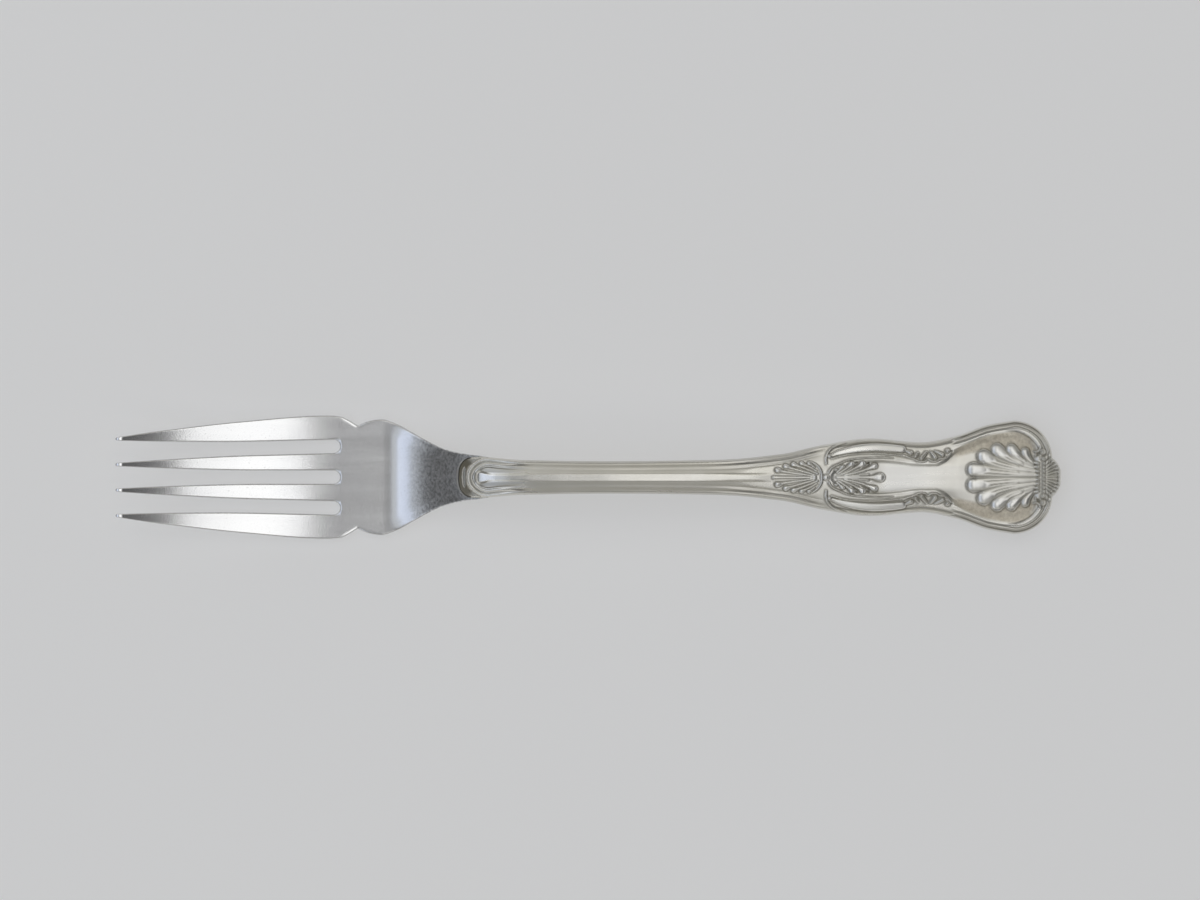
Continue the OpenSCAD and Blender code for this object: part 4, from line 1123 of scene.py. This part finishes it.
def solder():
    m = Net("solder")
    m.set("Metallic", 1.0)
    cloud = m.noise(EVEN, 700)
    m.set("Base Color", m.ramp(cloud, [(0.3, (0.4, 0.4, 0.4)), (0.7, (0.62, 0.62, 0.6))]))
    m.set("Roughness", m.ramp(cloud, [(0.3, 0.32), (0.7, 0.46)]))
    m.set("Normal", m.bump(cloud, 0.3, 0.0001))
    return m.mat


def cement():
    m = Net("cement")
    coarse = m.noise(EVEN, 420, 5, 0.6)
    m.set("Base Color", m.ramp(coarse, [(0.3, (0.2, 0.12, 0.07)), (0.7, (0.42, 0.28, 0.18))]))
    m.set("Roughness", 0.85)
    m.set("Normal", m.bump(coarse, 0.5, 0.0003))
    return m.mat


def pale_floor():
    """A pale floor that is partly plain white where the camera or the metal sees it."""
    m = Net("pale_floor")
    cloud = m.noise(EVEN, 6)
    m.set("Base Color", m.ramp(cloud, [(0.3, (0.83, 0.83, 0.825)), (0.7, (0.85, 0.85, 0.845))]))
    m.set("Roughness", 0.95)
    m.set("Specular IOR Level", 0.1)
    path = m.node("ShaderNodeLightPath")
    seen = m.math("MAXIMUM", path.outputs["Is Camera Ray"], path.outputs["Is Glossy Ray"])
    seen = m.math("MAXIMUM", seen, path.outputs["Is Transmission Ray"])
    white = m.node("ShaderNodeEmission", Strength=1.0)
    both = m.node("ShaderNodeMixShader")
    m.link(m.math("MULTIPLY", seen, 0.36), both.inputs[0])
    m.link(m.shader.outputs[0], both.inputs[1])
    m.link(white.outputs[0], both.inputs[2])
    m.link(both.outputs[0], m.out.inputs[0])
    return m.mat


# Step of the rows, columns on each side of the axis and height of the ornament: fine where the
# camera looks, and a little flatter on the back
FRONT, BACK = (0.145, 75, 1.0), (0.3, 40, 0.8)

silver, soft_metal = handle_silver(), solder()
for piece, node, slot, material in (
    (make_head("head_plate"), "fork_head", "head_silver", head_silver()),
    (make_shell("front_face", 1, *FRONT), "handle_front_shell", "handle_silver", silver),
    (make_shell("back_face", -1, *BACK), "handle_back_shell", "handle_silver", silver),
):
    piece.data.materials.append(material)
    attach(piece, "root")
    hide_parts(node)
for node, material in (
    ("handle_filling", cement()), ("seam_solder", soft_metal), ("mouth_solder", soft_metal),
):
    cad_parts[node].data.materials.clear()
    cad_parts[node].data.materials.append(material)

# The stage, in metres
FLOOR_R, FLOOR_Z = 6, -0.0001
corners = [(-FLOOR_R, -FLOOR_R), (FLOOR_R, -FLOOR_R), (FLOOR_R, FLOOR_R), (-FLOOR_R, FLOOR_R)]
floor_mesh = bpy.data.meshes.new("floor")
floor_mesh.from_pydata([(x, y, FLOOR_Z) for x, y in corners], [], [(0, 1, 2, 3)])
floor = bpy.data.objects.new("floor", floor_mesh)
bpy.context.scene.collection.objects.link(floor)
floor.data.materials.append(pale_floor())


def panel(name, azimuth, zenith, distance, wide, shade_and_tarnish, level, colour):
    """A soft panel lamp that faces the fork; level is how bright its face is."""
    data = bpy.data.lights.new(name, "AREA")
    data.shape = "RECTANGLE"
    data.size, data.size_y = wide, shade_and_tarnish
    data.energy = level * math.pi * wide * shade_and_tarnish
    data.color = colour
    lamp = bpy.data.objects.new(name, data)
    turn, tilt = math.radians(azimuth), math.radians(zenith)
    away = distance * math.sin(tilt)
    lamp.location = (away * math.cos(turn), away * math.sin(turn), distance * math.cos(tilt))
    lamp.rotation_euler = (0, tilt, turn)
    lamp.visible_camera = False
    bpy.context.scene.collection.objects.link(lamp)


WHITE, COOL, BLUE, WARM = (1, 1, 1), (0.86, 0.92, 1), (0.74, 0.82, 1), (1, 0.98, 0.9)
# Azimuth, angle from straight up, distance, width across the azimuth, depth along it, level, colour
for name, *values in (
    ("panel_tail", 0, 8.6, 3.04, 0.94, 3.3, 0.88, WHITE),
    ("panel_tines", 180, 27.5, 1.5, 0.5, 2.4, 0.76, BLUE),
    ("panel_near", 180, 14, 1.5, 0.18, 2.4, 0.34, COOL),
    ("panel_heel", 180, 43.5, 1.5, 0.34, 2.4, 0.36, COOL),
    ("panel_up", 90, 35, 1.7, 0.93, 2.6, 0.38, WARM),
    ("panel_down", 270, 44, 1.7, 0.62, 2.6, 0.38, WARM),
):
    panel(name, *values)

# Height of a direction over the horizon, from 0 to 1, and how bright the surroundings are there
SKY = [(0.0, 0.9), (0.14, 0.85), (0.26, 0.16), (0.42, 0.1), (0.88, 0.09), (0.945, 0.18), (1.0, 0.29)]
SKY_BLUE = 1.01
BACKDROP = (0.52, 0.53, 0.535)


def studio_world():
    """Surroundings for the metal; past the floor's edge the camera sees a plain pale backdrop."""
    world = bpy.data.worlds.new("studio")
    bpy.context.scene.world = world
    world.use_nodes = True
    nodes, link = world.node_tree.nodes, world.node_tree.links.new
    nodes.clear()
    coord = nodes.new("ShaderNodeTexCoord")
    split = nodes.new("ShaderNodeSeparateXYZ")
    ramp = nodes.new("ShaderNodeValToRGB")
    set_stops(ramp, [(height, (level, level, level * SKY_BLUE)) for height, level in SKY])
    sky = nodes.new("ShaderNodeBackground")
    backdrop = nodes.new("ShaderNodeBackground")
    backdrop.inputs[0].default_value = (*BACKDROP, 1)
    path = nodes.new("ShaderNodeLightPath")
    either = nodes.new("ShaderNodeMixShader")
    out = nodes.new("ShaderNodeOutputWorld")
    link(coord.outputs["Generated"], split.inputs[0])
    link(split.outputs[2], ramp.inputs[0])
    link(ramp.outputs[0], sky.inputs[0])
    link(path.outputs["Is Camera Ray"], either.inputs[0])
    link(sky.outputs[0], either.inputs[1])
    link(backdrop.outputs[0], either.inputs[2])
    link(either.outputs[0], out.inputs[0])


studio_world()

# The photo in its own pixels: its size, the tine tips, the fork's axis and its length
PHOTO_W, PHOTO_H = 1200, 900
TIPS_PX, AXIS_PX, FORK_PX = 116, 477.3, 946
# One pixel, the camera's distance and the height that it looks at, in metres
PX = FORK * MM / FORK_PX
DISTANCE, AIM_Z = 1.25, 0.006
SENSOR = 36

cam_data = bpy.data.cameras.new("camera")
cam_data.sensor_width = SENSOR
cam_data.lens = SENSOR * DISTANCE / (PHOTO_W * PX)
cam_data.clip_start, cam_data.clip_end = 0.05, 20
cam = bpy.data.objects.new("camera", cam_data)
bpy.context.scene.collection.objects.link(cam)
middle_x = (PHOTO_W / 2 - TIPS_PX) * PX - FORK / 2 * MM
middle_y = (AXIS_PX - PHOTO_H / 2) * PX
cam.location = (middle_x, middle_y, AIM_Z + DISTANCE)
cam.rotation_euler = (0, 0, 0)
bpy.context.scene.camera = cam
bpy.context.scene.view_settings.view_transform = "Standard"
